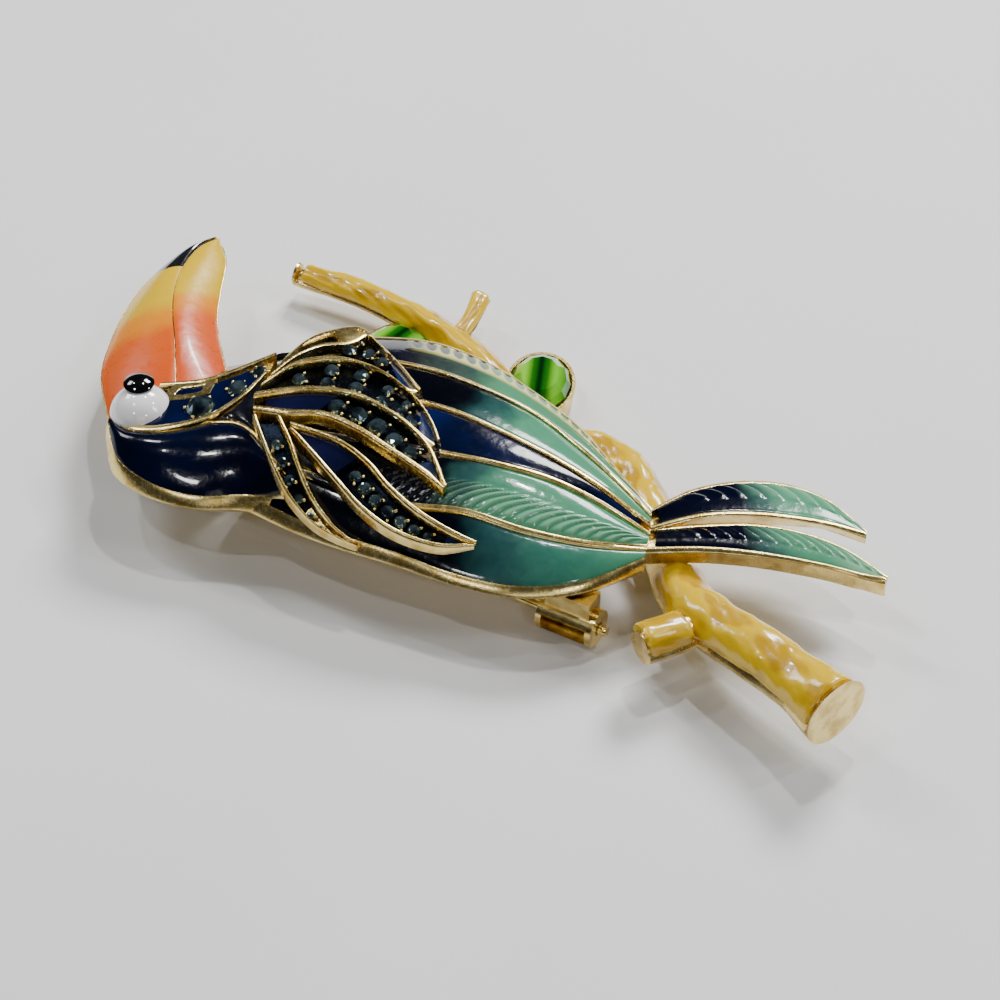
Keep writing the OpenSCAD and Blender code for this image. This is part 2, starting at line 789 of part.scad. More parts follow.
module panel_near() {
    color([0.10, 0.22, 0.30])
        difference() {
            over_panel(near_edge, line_4, body_rises[0], 1, steps, w0 = rim_width);
            block(piece_gap) outline(nape_low, nape_high);
        }
}

module tail_upper_enamel() {
    color([0.20, 0.48, 0.46]) skin(tail_mid, tail_far, tail_rise, 1, steps, line_width, line_width);
}

module tail_lower_enamel() {
    color([0.16, 0.42, 0.44])
        difference() {
            skin(tail_near, tail_fork, tail_rise, 1, steps, line_width, line_width);
            block(piece_gap) outline(tail_mid, tail_far);
        }
}

module beak_upper_enamel() {
    color([0.90, 0.78, 0.20]) skin(beak_mid, beak_left, beak_rises[1], beak_base_upper_end, beak_tip_start,
                                   line_width / 2, line_width / 2);
}

module beak_lower_enamel() {
    color([0.86, 0.74, 0.20]) skin(beak_right, beak_mid, beak_rises[0], beak_base_lower_end, skin_end,
                                   line_width / 2, line_width / 2);
}

module beak_base_enamel() {
    color([0.95, 0.52, 0.16])
        difference() {
            union() {
                skin(beak_mid, beak_left, beak_rises[1], 0, beak_base_upper_end, line_width / 2, line_width / 2);
                skin(beak_right, beak_mid, beak_rises[0], 0, beak_base_lower_end, line_width / 2, line_width / 2);
            }
            block(piece_gap) {
                outline(stripe_low, head_far);
                at_station(beak_left, beak_mid, beak_base_upper_end);
                at_station(beak_mid, beak_right, beak_base_lower_end);
            }
            eye_clearance();
        }
}

// a thin strip in plan across a panel at one station, where two colours of enamel part
module at_station(a, b, i) {
    p = plan_of(at(a, i / steps));
    q = plan_of(at(b, i / steps));
    polygon([p, q, q + [0, flat], p + [0, flat]]);
}

// the room over the flat seat of the eye's dome
module eye_seat(grow) {
    translate([eye_at[0] * brooch_length, eye_at[1] * brooch_length, eye_at[2] * brooch_height])
        cylinder(r = eye_radius + grow, h = brooch_height, $fn = 36);
}

module eye_clearance() {
    translate([0, 0, -brooch_height / 2]) eye_seat(piece_gap);
}

// the room that the head stones take, open at the top
module head_seats(grow) {
    for (row = [stone_large, stone_mid, stone_small])
        translate([row[0] * brooch_length, row[1] * brooch_length,
                   row[2] * brooch_height - stone_depth * row[3] * pave_width - grow])
            cylinder(d = row[3] * pave_width + 2 * grow, h = brooch_height, $fn = 8);
}

module beak_tip_enamel() {
    color([0.04, 0.04, 0.05])
        difference() {
            skin(beak_mid, beak_left, beak_rises[1], beak_tip_start, skin_end, line_width / 2, line_width / 2);
            block(piece_gap) at_station(beak_left, beak_mid, beak_tip_start);
        }
}

module stripe_enamel() {
    color([0.10, 0.20, 0.42])
        difference() {
            skin(stripe_low, stripe_high, 0, feather_start, skin_end, rim_width, line_width, across = 1);
            eye_clearance();
            translate([0, 0, -1]) head_seats(piece_gap);
            block(piece_gap) feather_plan();
        }
}

module feather_skin(a, b, from, to, w0, w1) {
    skin(a, b, 0, from, to, w0, w1, sink = feather_sink - enamel_thickness - piece_gap, across = 1);
}

module feather_base_enamel() {
    color([0.20, 0.20, 0.42]) {
        feather_skin(c_near, c_far, feather_start, feather_base_end, rim_width, narrow_rim);
        feather_skin(d_near, d_far, feather_start, feather_base_end, narrow_rim, narrow_rim);
    }
}

module feather_tip_enamel() {
    color([0.12, 0.18, 0.34]) {
        feather_skin(b_near, b_far, tip_start_ab, skin_end, rim_width, narrow_rim);
        feather_skin(c_near, c_far, tip_start_ce, skin_end, rim_width, narrow_rim);
        difference() {
            union() {
                feather_skin(a_near, a_far, tip_start_ab, skin_end, rim_width, rim_width * 1.1);
                feather_skin(d_near, d_far, tip_start_d, skin_end, narrow_rim, narrow_rim);
                feather_skin(e_near, e_far, tip_start_ce, skin_end, narrow_rim, narrow_rim);
            }
            block(piece_gap) outline(b_near, b_far);
        }
    }
}

module throat_enamel() {
    color([0.08, 0.14, 0.36])
        difference() {
            skin(stripe_low, head_far, 0.1, throat_start, steps, 0.3, 0.3, sink = -piece_gap);
            block(piece_gap) {
                feather_plan();
                outline(stripe_low, stripe_high);
                outline(near_edge, far_edge);
                outline(beak_left, beak_right);
            }
        }
}

// bark enamel less the metal that it runs up to
module clear_of_metal() {
    difference() {
        children();
        block(piece_gap + line_width / 2) body_plan();
        bars(2 * piece_gap);
        for (s = [green_near, green_far])
            green_place(s)
                linear_extrude(height = brooch_height)
                    green_round(cup_lip, piece_gap, 16);
    }
}

module bark_near() {
    color([0.90, 0.76, 0.18])
        clear_of_metal() {
            difference() {
                bark(branch, bark_near_span, limb_rings);
                limb(stub, bark_thickness, 2);
            }
            difference() {
                bark(stub, stub_span, 2);
                limb(branch, 0, limb_rings);
            }
        }
}

module bark_middle() {
    color([0.93, 0.79, 0.16]) clear_of_metal() bark(branch, bark_middle_span, limb_rings);
}

module bark_far() {
    color([0.88, 0.74, 0.20])
        clear_of_metal() {
            difference() {
                bark(branch, bark_far_span, limb_rings);
                limb(twig, bark_thickness, 2);
            }
            difference() {
                bark(twig, twig_span, 2);
                limb(branch, 0, limb_rings);
            }
        }
}

// Eye and stones.

// cap of a ball: base radius r, height h
module cap(r, h) {
    ball = (r * r + h * h) / (2 * h);
    intersection() {
        translate([0, 0, h - ball]) sphere(r = ball, $fn = 48);
        cylinder(r = r * 2, h = h * 2, $fn = 48);
    }
}

module eye_white() {
    color([0.93, 0.93, 0.90])
        translate([eye_at[0] * brooch_length, eye_at[1] * brooch_length, eye_at[2] * brooch_height])
            cap(eye_radius, eye_rise);
}

module pupil() {
    color([0.02, 0.02, 0.02])
        translate([pupil_at[0] * brooch_length, pupil_at[1] * brooch_length,
                   eye_at[2] * brooch_height + eye_rise + piece_gap])
            cap(pupil_radius, pupil_radius * 0.35);
}

module head_stone(row) {
    translate([row[0] * brooch_length, row[1] * brooch_length, row[2] * brooch_height])
        cut_stone(row[3] * pave_width);
}

module head_stone_large() {
    color([0.13, 0.20, 0.30]) head_stone(stone_large);
}

module head_stone_middle() {
    color([0.13, 0.20, 0.30]) head_stone(stone_mid);
}

module head_stone_small() {
    color([0.13, 0.20, 0.30]) head_stone(stone_small);
}

module pave_a() {
    color([0.10, 0.18, 0.22]) pave(a_near, a_far, stones_a);
}

module pave_b() {
    color([0.10, 0.18, 0.22]) pave(b_near, b_far, stones_b);
}

module pave_c() {
    color([0.10, 0.18, 0.22]) pave(c_near, c_far, stones_c);
}

module pave_d() {
    color([0.10, 0.18, 0.22]) pave(d_near, d_far, stones_d);
}

module pave_e() {
    color([0.10, 0.18, 0.22]) pave(e_near, e_far, stones_e);
}

module green_stone_near() {
    color([0.20, 0.62, 0.12, 0.8])
        green_place(green_near)
            translate([0, 0, cup_floor + piece_gap + green_height * 0.5])
                green_cut();
}

module green_stone_far() {
    color([0.20, 0.62, 0.12, 0.8])
        green_place(green_far)
            translate([0, 0, cup_floor + piece_gap + green_height * 0.5])
                green_cut();
}

// Pin and catch on the back, plain, from exact round shapes.

module pin_line() {
    translate([catch_x, pin_y, 0]) rotate([0, 0, pin_turn]) children();
}

module pin_stem() {
    reach = catch_x - hinge_x;
    color([0.78, 0.66, 0.42])
        pin_line() {
            translate([-reach, 0, pin_z])
                rotate([0, 90, 0])
                    cylinder(r = pin_radius, h = reach + catch_length + pin_past_catch, $fn = 24);
            translate([-reach - block_back, -block_width / 2, 0])
                cube([block_length, block_width, back_height - piece_gap]);
        }
}

module catch() {
    color([0.80, 0.68, 0.42])
        pin_line()
            difference() {
                union() {
                    translate([0, 0, pin_z])
                        rotate([0, 90, 0])
                            cylinder(r = catch_radius, h = catch_length, $fn = 40);
                    translate([foot_margin, -catch_radius * foot_side, pin_z])
                        cube([catch_length - 2 * foot_margin, catch_radius * foot_width,
                              back_height - pin_z - piece_gap]);
                }
                translate([-1, 0, pin_z])
                    rotate([0, 90, 0])
                        cylinder(r = pin_radius + pin_room, h = catch_length + 2, $fn = 24);
                translate([catch_length * (1 - window_length) / 2, -catch_radius - 1,
                           pin_z - catch_radius * window_height / 2])
                    cube([catch_length * window_length, catch_radius + 1, catch_radius * window_height]);
            }
}

module placed() {
    translate([shift_x * brooch_length, shift_y * brooch_length, 0]) children();
}

placed() casting();
placed() nape_enamel();
placed() panel_far();
placed() panel_second();
placed() panel_stripe();
placed() panel_main();
placed() panel_near();
placed() tail_upper_enamel();
placed() tail_lower_enamel();
placed() beak_upper_enamel();
placed() beak_lower_enamel();
placed() beak_base_enamel();
placed() beak_tip_enamel();
placed() stripe_enamel();
placed() feather_base_enamel();
placed() feather_tip_enamel();
placed() throat_enamel();
placed() bark_near();
placed() bark_middle();
placed() bark_far();
placed() eye_white();
placed() pupil();
placed() head_stone_large();
placed() head_stone_middle();
placed() head_stone_small();
placed() pave_a();
placed() pave_b();
placed() pave_c();
placed() pave_d();
placed() pave_e();
placed() green_stone_near();
placed() green_stone_far();
placed() pin_stem();
placed() catch();
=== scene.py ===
"""Looks of the bird brooch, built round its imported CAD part.

Curves are in millimetres in the plan frame of the part's source: X from the head to the tail,
Y towards the beak's tip, Z up through the face. SHIFT moves them into the row frame.
"""

import math

import bpy
import numpy as np
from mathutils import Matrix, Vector


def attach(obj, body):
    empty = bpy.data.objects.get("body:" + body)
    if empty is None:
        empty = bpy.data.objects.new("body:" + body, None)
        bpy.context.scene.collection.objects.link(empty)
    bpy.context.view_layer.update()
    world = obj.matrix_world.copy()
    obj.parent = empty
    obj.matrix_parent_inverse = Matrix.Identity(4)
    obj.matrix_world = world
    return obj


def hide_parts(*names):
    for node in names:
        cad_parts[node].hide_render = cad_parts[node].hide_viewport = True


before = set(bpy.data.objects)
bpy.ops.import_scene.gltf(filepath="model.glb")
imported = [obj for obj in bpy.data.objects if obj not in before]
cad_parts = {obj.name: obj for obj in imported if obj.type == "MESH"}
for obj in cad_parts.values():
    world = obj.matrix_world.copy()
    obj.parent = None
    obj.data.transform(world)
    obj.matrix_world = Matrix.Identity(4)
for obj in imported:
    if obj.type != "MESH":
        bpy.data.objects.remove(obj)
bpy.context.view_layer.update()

MM = 0.001
SHIFT = np.array([2.745, -5.358, 0.0])

# All in millimetres. Height of the walls' foot, a little above the body's flat back, and how
# far a wall's foot is drawn in under its rim.
WALL_FOOT = 5.15
WALL_DRAW = 0.8
# Widths of the raised lines and rims.
LINE = 0.55
RIM = 0.75
NARROW_RIM = 0.45
BEAK_LINE = 0.06
BEAK_RIM = 0.12
# Heights: lines above the enamel's face, floors below it, the enamel's thickness and drawn edge.
LINE_RISE = 0.3
SINK = 0.58
FEATHER_SINK = 1.0
TIP_SINK = FEATHER_SINK - SINK
ENAMEL = 0.45
EDGE_DIP = 0.05
# Steps along a curve, which enamel spans count, and rows of points along the metal.
STEPS = 14
RELIEF_ROWS = 160
# Shares of the way over a rim, and over half a line, at the points of their rounded sections.
RIM_SECTION = (0, 0.06, 0.18, 0.34, 0.5, 0.66, 0.82, 0.94, 1.0)
LINE_SECTION = (0.0, 0.3, 0.6, 0.85, 1.0)

# each curve runs from the head end to the tail end; columns: x, y, z
CURVES = {
    "near_edge": [(-20.5, -7.2, 6.1), (-16.2, -8.5, 6.1), (-11.7, -9.4, 6.1), (-6.3, -10, 6.1),
        (-0.9, -10.8, 6.1), (4.5, -10.7, 6.1), (9.6, -8.7, 6.1), (13.8, -4.9, 6.2)],
    "line_4": [(-19, -4.2, 9.2), (-15, -5, 9.4), (-11, -5.7, 9.3), (-6.6, -5.9, 9.2),
        (-1.7, -5.3, 9.2), (3.6, -5.6, 8.7), (8.8, -5, 8), (13.7, -3.3, 7)],
    "line_3": [(-19, -1, 10.4), (-14.5, -0.8, 10.5), (-9.6, -0.5, 10.5), (-4.8, -0.6, 10.8),
        (0, -0.5, 10.7), (4.7, -0.4, 10), (9.1, -0.9, 8.8), (13.6, -1.8, 7.2)],
    "line_2": [(-19.5, 4.5, 10.7), (-15, 5, 10.7), (-10.4, 5, 10.8), (-5.4, 4.2, 11.2),
        (-0.6, 3.2, 10.8), (4.3, 2, 10.1), (8.9, 0.5, 9.2), (13.4, -0.8, 7.2)],
    "line_1": [(-20, 9, 9.6), (-14.5, 9.7, 10.1), (-8.8, 9.7, 10.2), (-3.4, 8.8, 9.9), (1.2, 7.6, 9.3),
        (5.3, 5.4, 8.8), (9.3, 2.9, 8.2), (13.2, 0.3, 7.2)],
    "far_edge": [(-20.5, 13.2, 7.2), (-16.6, 15.2, 7.4), (-10.9, 16, 7.6), (-5.4, 14.8, 7.6),
        (-0.3, 12.2, 7.6), (4.6, 9, 7.6), (8.8, 5.2, 7.4), (13, 1.5, 7)],
    "nape_low": [(-34.7, -3.2, 6.8), (-32.8, -6.4, 6.3), (-29.3, -8.1, 6.2), (-25, -8.4, 6.2),
        (-21, -7.5, 6.2), (-16.6, -7.2, 6.2)],
    "nape_high": [(-34.5, -1.4, 7.5), (-32, -3, 8.6), (-28.5, -2.7, 9.3), (-25, -1, 9.8),
        (-21.8, -1.6, 10.3), (-17.4, -5.2, 9.4)],
    "stripe_low": [(-34.6, -1.8, 8), (-31.7, -3.5, 9.1), (-28.5, -3.1, 9.8), (-25.5, -1.4, 10.3),
        (-23.5, 1.3, 10.8), (-22.4, 4.6, 11)],
    "stripe_high": [(-31.5, 3.1, 8.9), (-29.6, 3.3, 9.4), (-27.8, 3.7, 9.8), (-26, 4.9, 10.1),
        (-24.5, 6.2, 10.3), (-22.6, 7.8, 10.6)],
    "head_far": [(-36.4, 1.2, 6.2), (-34, 4.4, 7.6), (-30.5, 6.2, 7.9), (-27, 8.6, 7.5),
        (-23.5, 10.6, 7.4), (-20, 13, 7.2)],
    "beak_left": [(-34.9, -1.6, 6.6), (-38.3, 4.7, 6.2), (-39.3, 9.6, 6.1), (-39.5, 14.4, 6.1),
        (-38.9, 19, 6.1), (-37.2, 22.9, 6.1), (-35.1, 25.3, 6)],
    "beak_mid": [(-30.6, 3.6, 8.2), (-32.6, 8.8, 8.5), (-34.2, 12.5, 8.4), (-35.4, 16.2, 8),
        (-36, 20.3, 7.4), (-35.8, 23.5, 6.8), (-34.7, 25.6, 6.3)],
    "beak_right": [(-26.9, 6.9, 6.9), (-29.6, 12, 6.6), (-31, 15.3, 6.5), (-31.9, 18.8, 6.4),
        (-32.7, 22.3, 6.3), (-33.7, 24.4, 6.2), (-34.3, 25.2, 6)],
    "a_far": [(-21.3, 6.6, 11.4), (-20.3, 9.3, 11.3), (-18.9, 11.2, 11.1), (-16.6, 12.6, 10.9),
        (-14.2, 10.9, 11.2), (-11.6, 8.7, 11.4), (-8.7, 5.9, 11.5)],
    "b_far": [(-22, 2.6, 11.8), (-20, 5.7, 12), (-16.2, 7.3, 12.1), (-12.3, 6.5, 12.2),
        (-8.8, 4.4, 12), (-6.7, 2.3, 11.8), (-5.4, 0.4, 11.6)],
    "b_near": [(-22.2, 0.7, 11.8), (-17.9, 2.2, 12.3), (-13.7, 2.7, 12.3), (-9.6, 1.4, 12.1),
        (-7.6, 0.2, 11.9), (-6.4, -0.6, 11.7), (-5.7, -0.9, 11.6)],
    "c_far": [(-22.2, 1, 11.9), (-17.9, 2.5, 12.4), (-13.7, 3, 12.4), (-9.6, 1.7, 12.2),
        (-6.3, -0.4, 11.8), (-4.6, -2.4, 11.4), (-3.4, -4.3, 11)],
    "c_near": [(-21.6, -1, 11.9), (-18.8, -1, 12.2), (-15.8, -0.4, 12.3), (-12.6, -1.1, 12.2),
        (-9.5, -2.3, 11.9), (-6.3, -3.6, 11.5), (-3.6, -4.8, 11)],
    "d_far": [(-18.1, -1.37, 11.9), (-13.6, -2.1, 11.8), (-10.4, -3.7, 11.6), (-8, -5.4, 11),
        (-5.4, -6.6, 10.2), (-2.6, -7.3, 9.4), (0.2, -7.6, 8.6)],
    "d_near": [(-17.9, -2.26, 11.7), (-15.4, -4.2, 11.4), (-12.6, -6.2, 10.7), (-9.8, -7.9, 9.7),
        (-6.6, -8.9, 8.8), (-3, -9.1, 8.4), (0.1, -8.2, 8.4)],
    "e_far": [(-19, -1.2, 12), (-17.4, -3.2, 11.6), (-15.9, -5.3, 10.8), (-14.2, -7.2, 9.6),
        (-12.2, -8.5, 8.3), (-10.6, -9.2, 7.7), (-9.5, -9.5, 7.4)],
    "e_near": [(-21.6, -1.4, 11.7), (-20.2, -3.4, 11.2), (-18.4, -5.6, 10.2), (-16.4, -7.5, 9),
        (-14, -8.8, 7.9), (-11.7, -9.5, 7.5), (-9.7, -9.8, 7.3)],
    "a_near": [(-22, 2.3, 11.7), (-20, 5.4, 11.9), (-16.2, 7, 12), (-12.3, 6.2, 12.1),
        (-10.4, 5.2, 12), (-9.4, 4.9, 11.8), (-9, 5.1, 11.6)],
    "tail_far": [(12.9, 1.5, 7), (15.6, 4.7, 7), (19.2, 6.8, 7), (23.2, 7.6, 7), (27.2, 6.7, 7),
        (30.9, 4, 6.9)],
    "tail_mid": [(13.6, -1.4, 7.4), (17.5, 0.9, 7.8), (21.7, 2.3, 7.8), (25.6, 2.9, 7.7),
        (28.4, 3, 7.6), (31.1, 2.9, 7.2)],
    "tail_fork": [(13.4, -0.9, 7.2), (17.5, 0.8, 7.2), (21.4, 2, 7.2), (25.4, 2.2, 7.2),
        (29.6, 1.4, 7.1), (33.7, -0.7, 6.9)],
    "tail_near": [(13.7, -3.7, 6.9), (18.4, -2.3, 7), (23.4, -1.5, 7), (28.5, -1.3, 7),
        (31.4, -1.6, 7), (33.6, -1.7, 6.9)],
}
# columns: x, y, z of the limb's axis, and its radius
LIMBS = {
    "branch": [(-27.6, 27, 2.5, 1.15), (-22.6, 26.3, 2.5, 1.35), (-17.9, 25, 2.5, 1.45),
        (-12.8, 22.9, 2.5, 1.55), (-7.4, 19.6, 2.4, 1.6), (-2.4, 15, 2.3, 1.6),
        (2.4, 12.2, 2.3, 1.6), (6.3, 11.8, 2.35, 1.6), (9.4, 9.4, 2.5, 1.9), (11.9, 5.5, 2.6, 2.1),
        (14.8, 0.6, 2.8, 2.2), (17.3, -4.4, 3.6, 2.3), (20.2, -7.5, 4.4, 2.4),
        (24.4, -10, 4.9, 2.45), (28.7, -12.6, 5.2, 2.55), (32.4, -15.2, 5.4, 2.85)],
    "stub": [(19.2, -8.1, 4.5, 1.85), (17.6, -9.8, 4.6, 1.8), (15.4, -11.9, 4.8, 1.7)],
    "twig": [(-10.6, 21.9, 2.5, 1), (-10.1, 24.7, 2.7, 0.9), (-9.9, 28.1, 3, 1)],
}


# Curves and surfaces.


def spline(rows, shares):
    """Smooth curve through rows at the given shares of its course."""
    p = np.array(rows, float)
    last = len(p) - 1
    s = np.clip(np.asarray(shares, float) * last, 0, last - 0.001)
    i = np.floor(s).astype(int)
    t = (s - i)[:, None]
    p0, p1 = p[np.maximum(i - 1, 0)], p[i]
    p2, p3 = p[i + 1], p[np.minimum(i + 2, last)]
    return 0.5 * (2 * p1 + (p2 - p0) * t + (2 * p0 - 5 * p1 + 4 * p2 - p3) * t**2
                  + (3 * p1 - p0 - 3 * p2 + p3) * t**3)


def curve(name, shares):
    return spline(CURVES[name], shares)


def plan_width(a, b):
    return np.maximum(0.2, np.linalg.norm((b - a)[:, :2], axis=1))


def inset(a, b, width):
    """Share of the way from a to b that a width in millimetres takes."""
    return np.minimum(0.44, width / plan_width(a, b))


def between(a, b, v, rise):
    """Points at share v of the way from a to b, domed by rise; v is one number a row or a grid."""
    v = np.asarray(v, float)
    if v.ndim == 1:
        v = v[:, None]
    p = a[:, None] + (b - a)[:, None] * v[..., None]
    p[..., 2] += 4 * rise * v * (1 - v)
    return p


def smooth(x, lo, hi):
    t = np.clip((x - lo) / (hi - lo), 0, 1)
    return t * t * (3 - 2 * t)


def ripple(x, y, seed):
    """Soft uneven value between about -1 and 1, the same every time."""
    rng = np.random.default_rng(seed)
    total = np.zeros(np.broadcast(x, y).shape)
    for octave in range(4):
        turn, phase = rng.uniform(0, 6.28, 2)
        f = 1.7**octave
        total += np.sin(f * (x * math.cos(turn) + y * math.sin(turn)) + phase) / 1.5**octave
    return total / 2.2


# Meshes.


class Shape:
    """Points, faces, and each point's place along and across and mark, for one mesh."""

    def __init__(self):
        self.points, self.faces, self.places, self.marks = [], [], [], []
        self.count = 0

    def add(self, points, faces, places=None, marks=None):
        points = np.asarray(points, float).reshape(-1, 3)
        n = len(points)
        self.points.append(points)
        self.faces += [[i + self.count for i in f] for f in faces]
        self.places.append(np.zeros((n, 2)) if places is None else places.reshape(-1, 2))
        self.marks.append(np.zeros(n) if marks is None else marks)
        self.count += n

    def build(self, name, node, material, sharp=35):
        mesh = bpy.data.meshes.new(name)
        points = (np.vstack(self.points) + SHIFT) * MM
        mesh.from_pydata(points.tolist(), [], self.faces)
        mesh.update()
        places = np.vstack(self.places)
        index = np.zeros(len(mesh.loops), np.int32)
        mesh.loops.foreach_get("vertex_index", index)
        layer = mesh.uv_layers.new(name="place")
        layer.data.foreach_set("uv", places[index].ravel())
        mark = mesh.attributes.new("mark", "FLOAT", "POINT")
        mark.data.foreach_set("value", np.concatenate(self.marks))
        mesh.shade_smooth()
        mesh.set_sharp_from_angle(angle=math.radians(sharp))
        mesh.materials.append(material)
        obj = bpy.data.objects.new(name, mesh)
        bpy.context.scene.collection.objects.link(obj)
        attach(obj, "root")
        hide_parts(node)


def grid_faces(rows, cols, start=0, flip=False):
    i, j = np.meshgrid(np.arange(rows - 1), np.arange(cols - 1), indexing="ij")
    a = start + i * cols + j
    quads = np.stack([a, a + 1, a + cols + 1, a + cols], -1).reshape(-1, 4)
    return (quads[:, ::-1] if flip else quads).tolist()


def ring_faces(rings, sides, start=0, flip=False):
    """Four-sided faces between neighbouring rings of points."""
    k = np.arange(sides)
    q = (k + 1) % sides
    i = start + sides * np.arange(rings - 1)[:, None]
    quads = np.stack([i + k, i + q, i + sides + q, i + sides + k], -1).reshape(-1, 4)
    return (quads[:, [0, 3, 2, 1]] if flip else quads).tolist()


def end_faces(rings, sides):
    """Faces that fill the first and the last ring."""
    return [list(range(sides))[::-1], [(rings - 1) * sides + k for k in range(sides)]]


def rim_of(rows, cols):
    """Numbers of a grid's outer points, in order round it."""
    return (list(range(cols)) + [i * cols + cols - 1 for i in range(1, rows)]
            + [(rows - 1) * cols + j for j in range(cols - 2, -1, -1)]
            + [i * cols for i in range(rows - 2, 0, -1)])


def no_places(top):
    return np.zeros(top.shape[:2] + (2,))


def pillar(shape, top, places, marks=None, draw=0.0, depth=None):
    """A grid of points with walls down from its edge.

    The walls' foot is drawn in by draw; depth holds how far down it lies at the grid's two ends.
    """
    rows, cols = top.shape[:2]
    top = top.copy()
    top[..., 2] = np.maximum(top[..., 2], WALL_FOOT + 0.2)
    edge = rim_of(rows, cols)
    flat = top.reshape(-1, 3)
    foot = flat[edge].copy()
    row = np.array(edge) // cols
    inward = (top[row, 0] + top[row, -1]) / 2 - foot
    reach = np.maximum(1e-3, np.linalg.norm(inward[:, :2], axis=1))
    foot[:, :2] += inward[:, :2] * np.minimum(draw / reach, 0.4)[:, None]
    if depth is None:
        foot[:, 2] = WALL_FOOT
    else:
        foot[:, 2] = np.maximum(WALL_FOOT, foot[:, 2] - np.interp(row, [0, rows - 1], depth))
    n, m = rows * cols, len(edge)
    faces = grid_faces(rows, cols, flip=True)
    faces += [[edge[k], edge[(k + 1) % m], n + (k + 1) % m, n + k] for k in range(m)]
    faces.append([n + k for k in range(m)])
    places = places.reshape(-1, 2)
    if marks is not None:
        marks = np.concatenate([marks.ravel(), marks.ravel()[edge]])
    shape.add(np.vstack([flat, foot]), faces, np.vstack([places, places[edge]]), marks)


def slab(shape, top, thickness, places, marks=None):
    """A grid of points with the same grid under it, closed round the edge."""
    rows, cols = top.shape[:2]
    n = rows * cols
    under = top.copy()
    under[..., 2] -= thickness
    edge = rim_of(rows, cols)
    m = len(edge)
    faces = grid_faces(rows, cols, flip=True) + grid_faces(rows, cols, n)
    faces += [[edge[k], edge[(k + 1) % m], n + edge[(k + 1) % m], n + edge[k]] for k in range(m)]
    places = places.reshape(-1, 2)
    if marks is not None:
        marks = np.concatenate([marks.ravel(), marks.ravel()])
    shape.add(np.vstack([top.reshape(-1, 3), under.reshape(-1, 3)]), faces,
              np.vstack([places, places]), marks)


def tube(shape, path, radius, sides):
    """A closed round bar along a path."""
    path = np.asarray(path, float)
    along = np.gradient(path, axis=0)
    along /= np.linalg.norm(along, axis=1)[:, None]
    side = np.cross([0, 0, 1.0], along)
    side /= np.linalg.norm(side, axis=1)[:, None]
    high = np.cross(along, side)
    w = (np.arange(sides) * 2 * math.pi / sides)[None, :, None]
    points = path[:, None] + radius * (side[:, None] * np.cos(w) + high[:, None] * np.sin(w))
    shape.add(points, ring_faces(len(path), sides) + end_faces(len(path), sides))


def globe(angles, sides):
    """Points and faces of a ball of radius 1: its top, then a ring at each angle down from it."""
    w, t = angles[:, None], np.arange(sides)[None, :] * 2 * math.pi / sides
    rings = np.broadcast_arrays(np.sin(w) * np.cos(t), np.sin(w) * np.sin(t), np.cos(w))
    faces = [[0, 1 + k, 1 + (k + 1) % sides] for k in range(sides)]
    return (np.vstack([[0, 0, 1.0], np.stack(rings, -1).reshape(-1, 3)]),
            faces + ring_faces(len(angles), sides, start=1, flip=True))


def ball(shape, at, radius, rings=6, sides=10):
    """A small closed ball."""
    points, faces = globe(math.pi * np.arange(1, rings) / rings, sides)
    end = len(points)
    faces += [[end, end - sides + (k + 1) % sides, end - sides + k] for k in range(sides)]
    shape.add(np.vstack([points, [0, 0, -1.0]]) * radius + at, faces)


# Relief of the casting.


def relief_columns(lines, rises, sink, rims, up, edge_up, drop):
    """Columns of points over a row of panels: rounded lines standing between sunk floors.

    The outer lines are rims that fall by drop at their edges, the inner ones rise by up.
    """
    rim = [(s, -drop + (drop + edge_up) * math.sqrt(max(0, 1 - (2 * s - 1) ** 2)))
           for s in RIM_SECTION]
    half_line = [(s, up * math.sqrt(1 - s * s)) for s in LINE_SECTION]
    last = len(lines) - 1
    total = sum(plan_width(lines[k], lines[k + 1]).mean() for k in range(last))
    cols, across = [], []
    done = 0.0
    for k in range(last):
        a, b = lines[k], lines[k + 1]
        e0 = inset(a, b, rims[0] if k == 0 else LINE / 2)
        e1 = inset(a, b, rims[1] if k == last - 1 else LINE / 2)
        opening = rim if k == 0 else half_line
        closing = rim[::-1] if k == last - 1 else half_line[:0:-1]
        sunk = [e0 * 1.02, *(e0 + (1 - e0 - e1) * s for s in (0.25, 0.5, 0.75)), 1 - e1 * 1.02]
        spots = [(e0 * s, h) for s, h in opening] + [(v, -sink) for v in sunk]
        spots += [(1 - e1 * s, h) for s, h in closing]
        width = plan_width(a, b).mean()
        for v, h in spots:
            p = between(a, b, v, rises[k])[:, 0]
            p[:, 2] += h
            cols.append(p)
            across.append((done + width * float(np.mean(v))) / total)
        done += width
    return np.stack(cols, 1), np.array(across)


def relief(shape, names, rises, rims, up=LINE_RISE, edge_up=0.12, draw=0.0, depth=None):
    """Metal under a row of panels between named curves, with its walls."""
    u = np.linspace(0, 1, RELIEF_ROWS + 1)
    top, across = relief_columns([curve(n, u) for n in names], rises, SINK, rims, up, edge_up, 0.0)
    places = np.stack(np.broadcast_arrays(u[:, None], across[None, :]), -1)
    pillar(shape, top, places, draw=draw, depth=depth)


# Enamel.


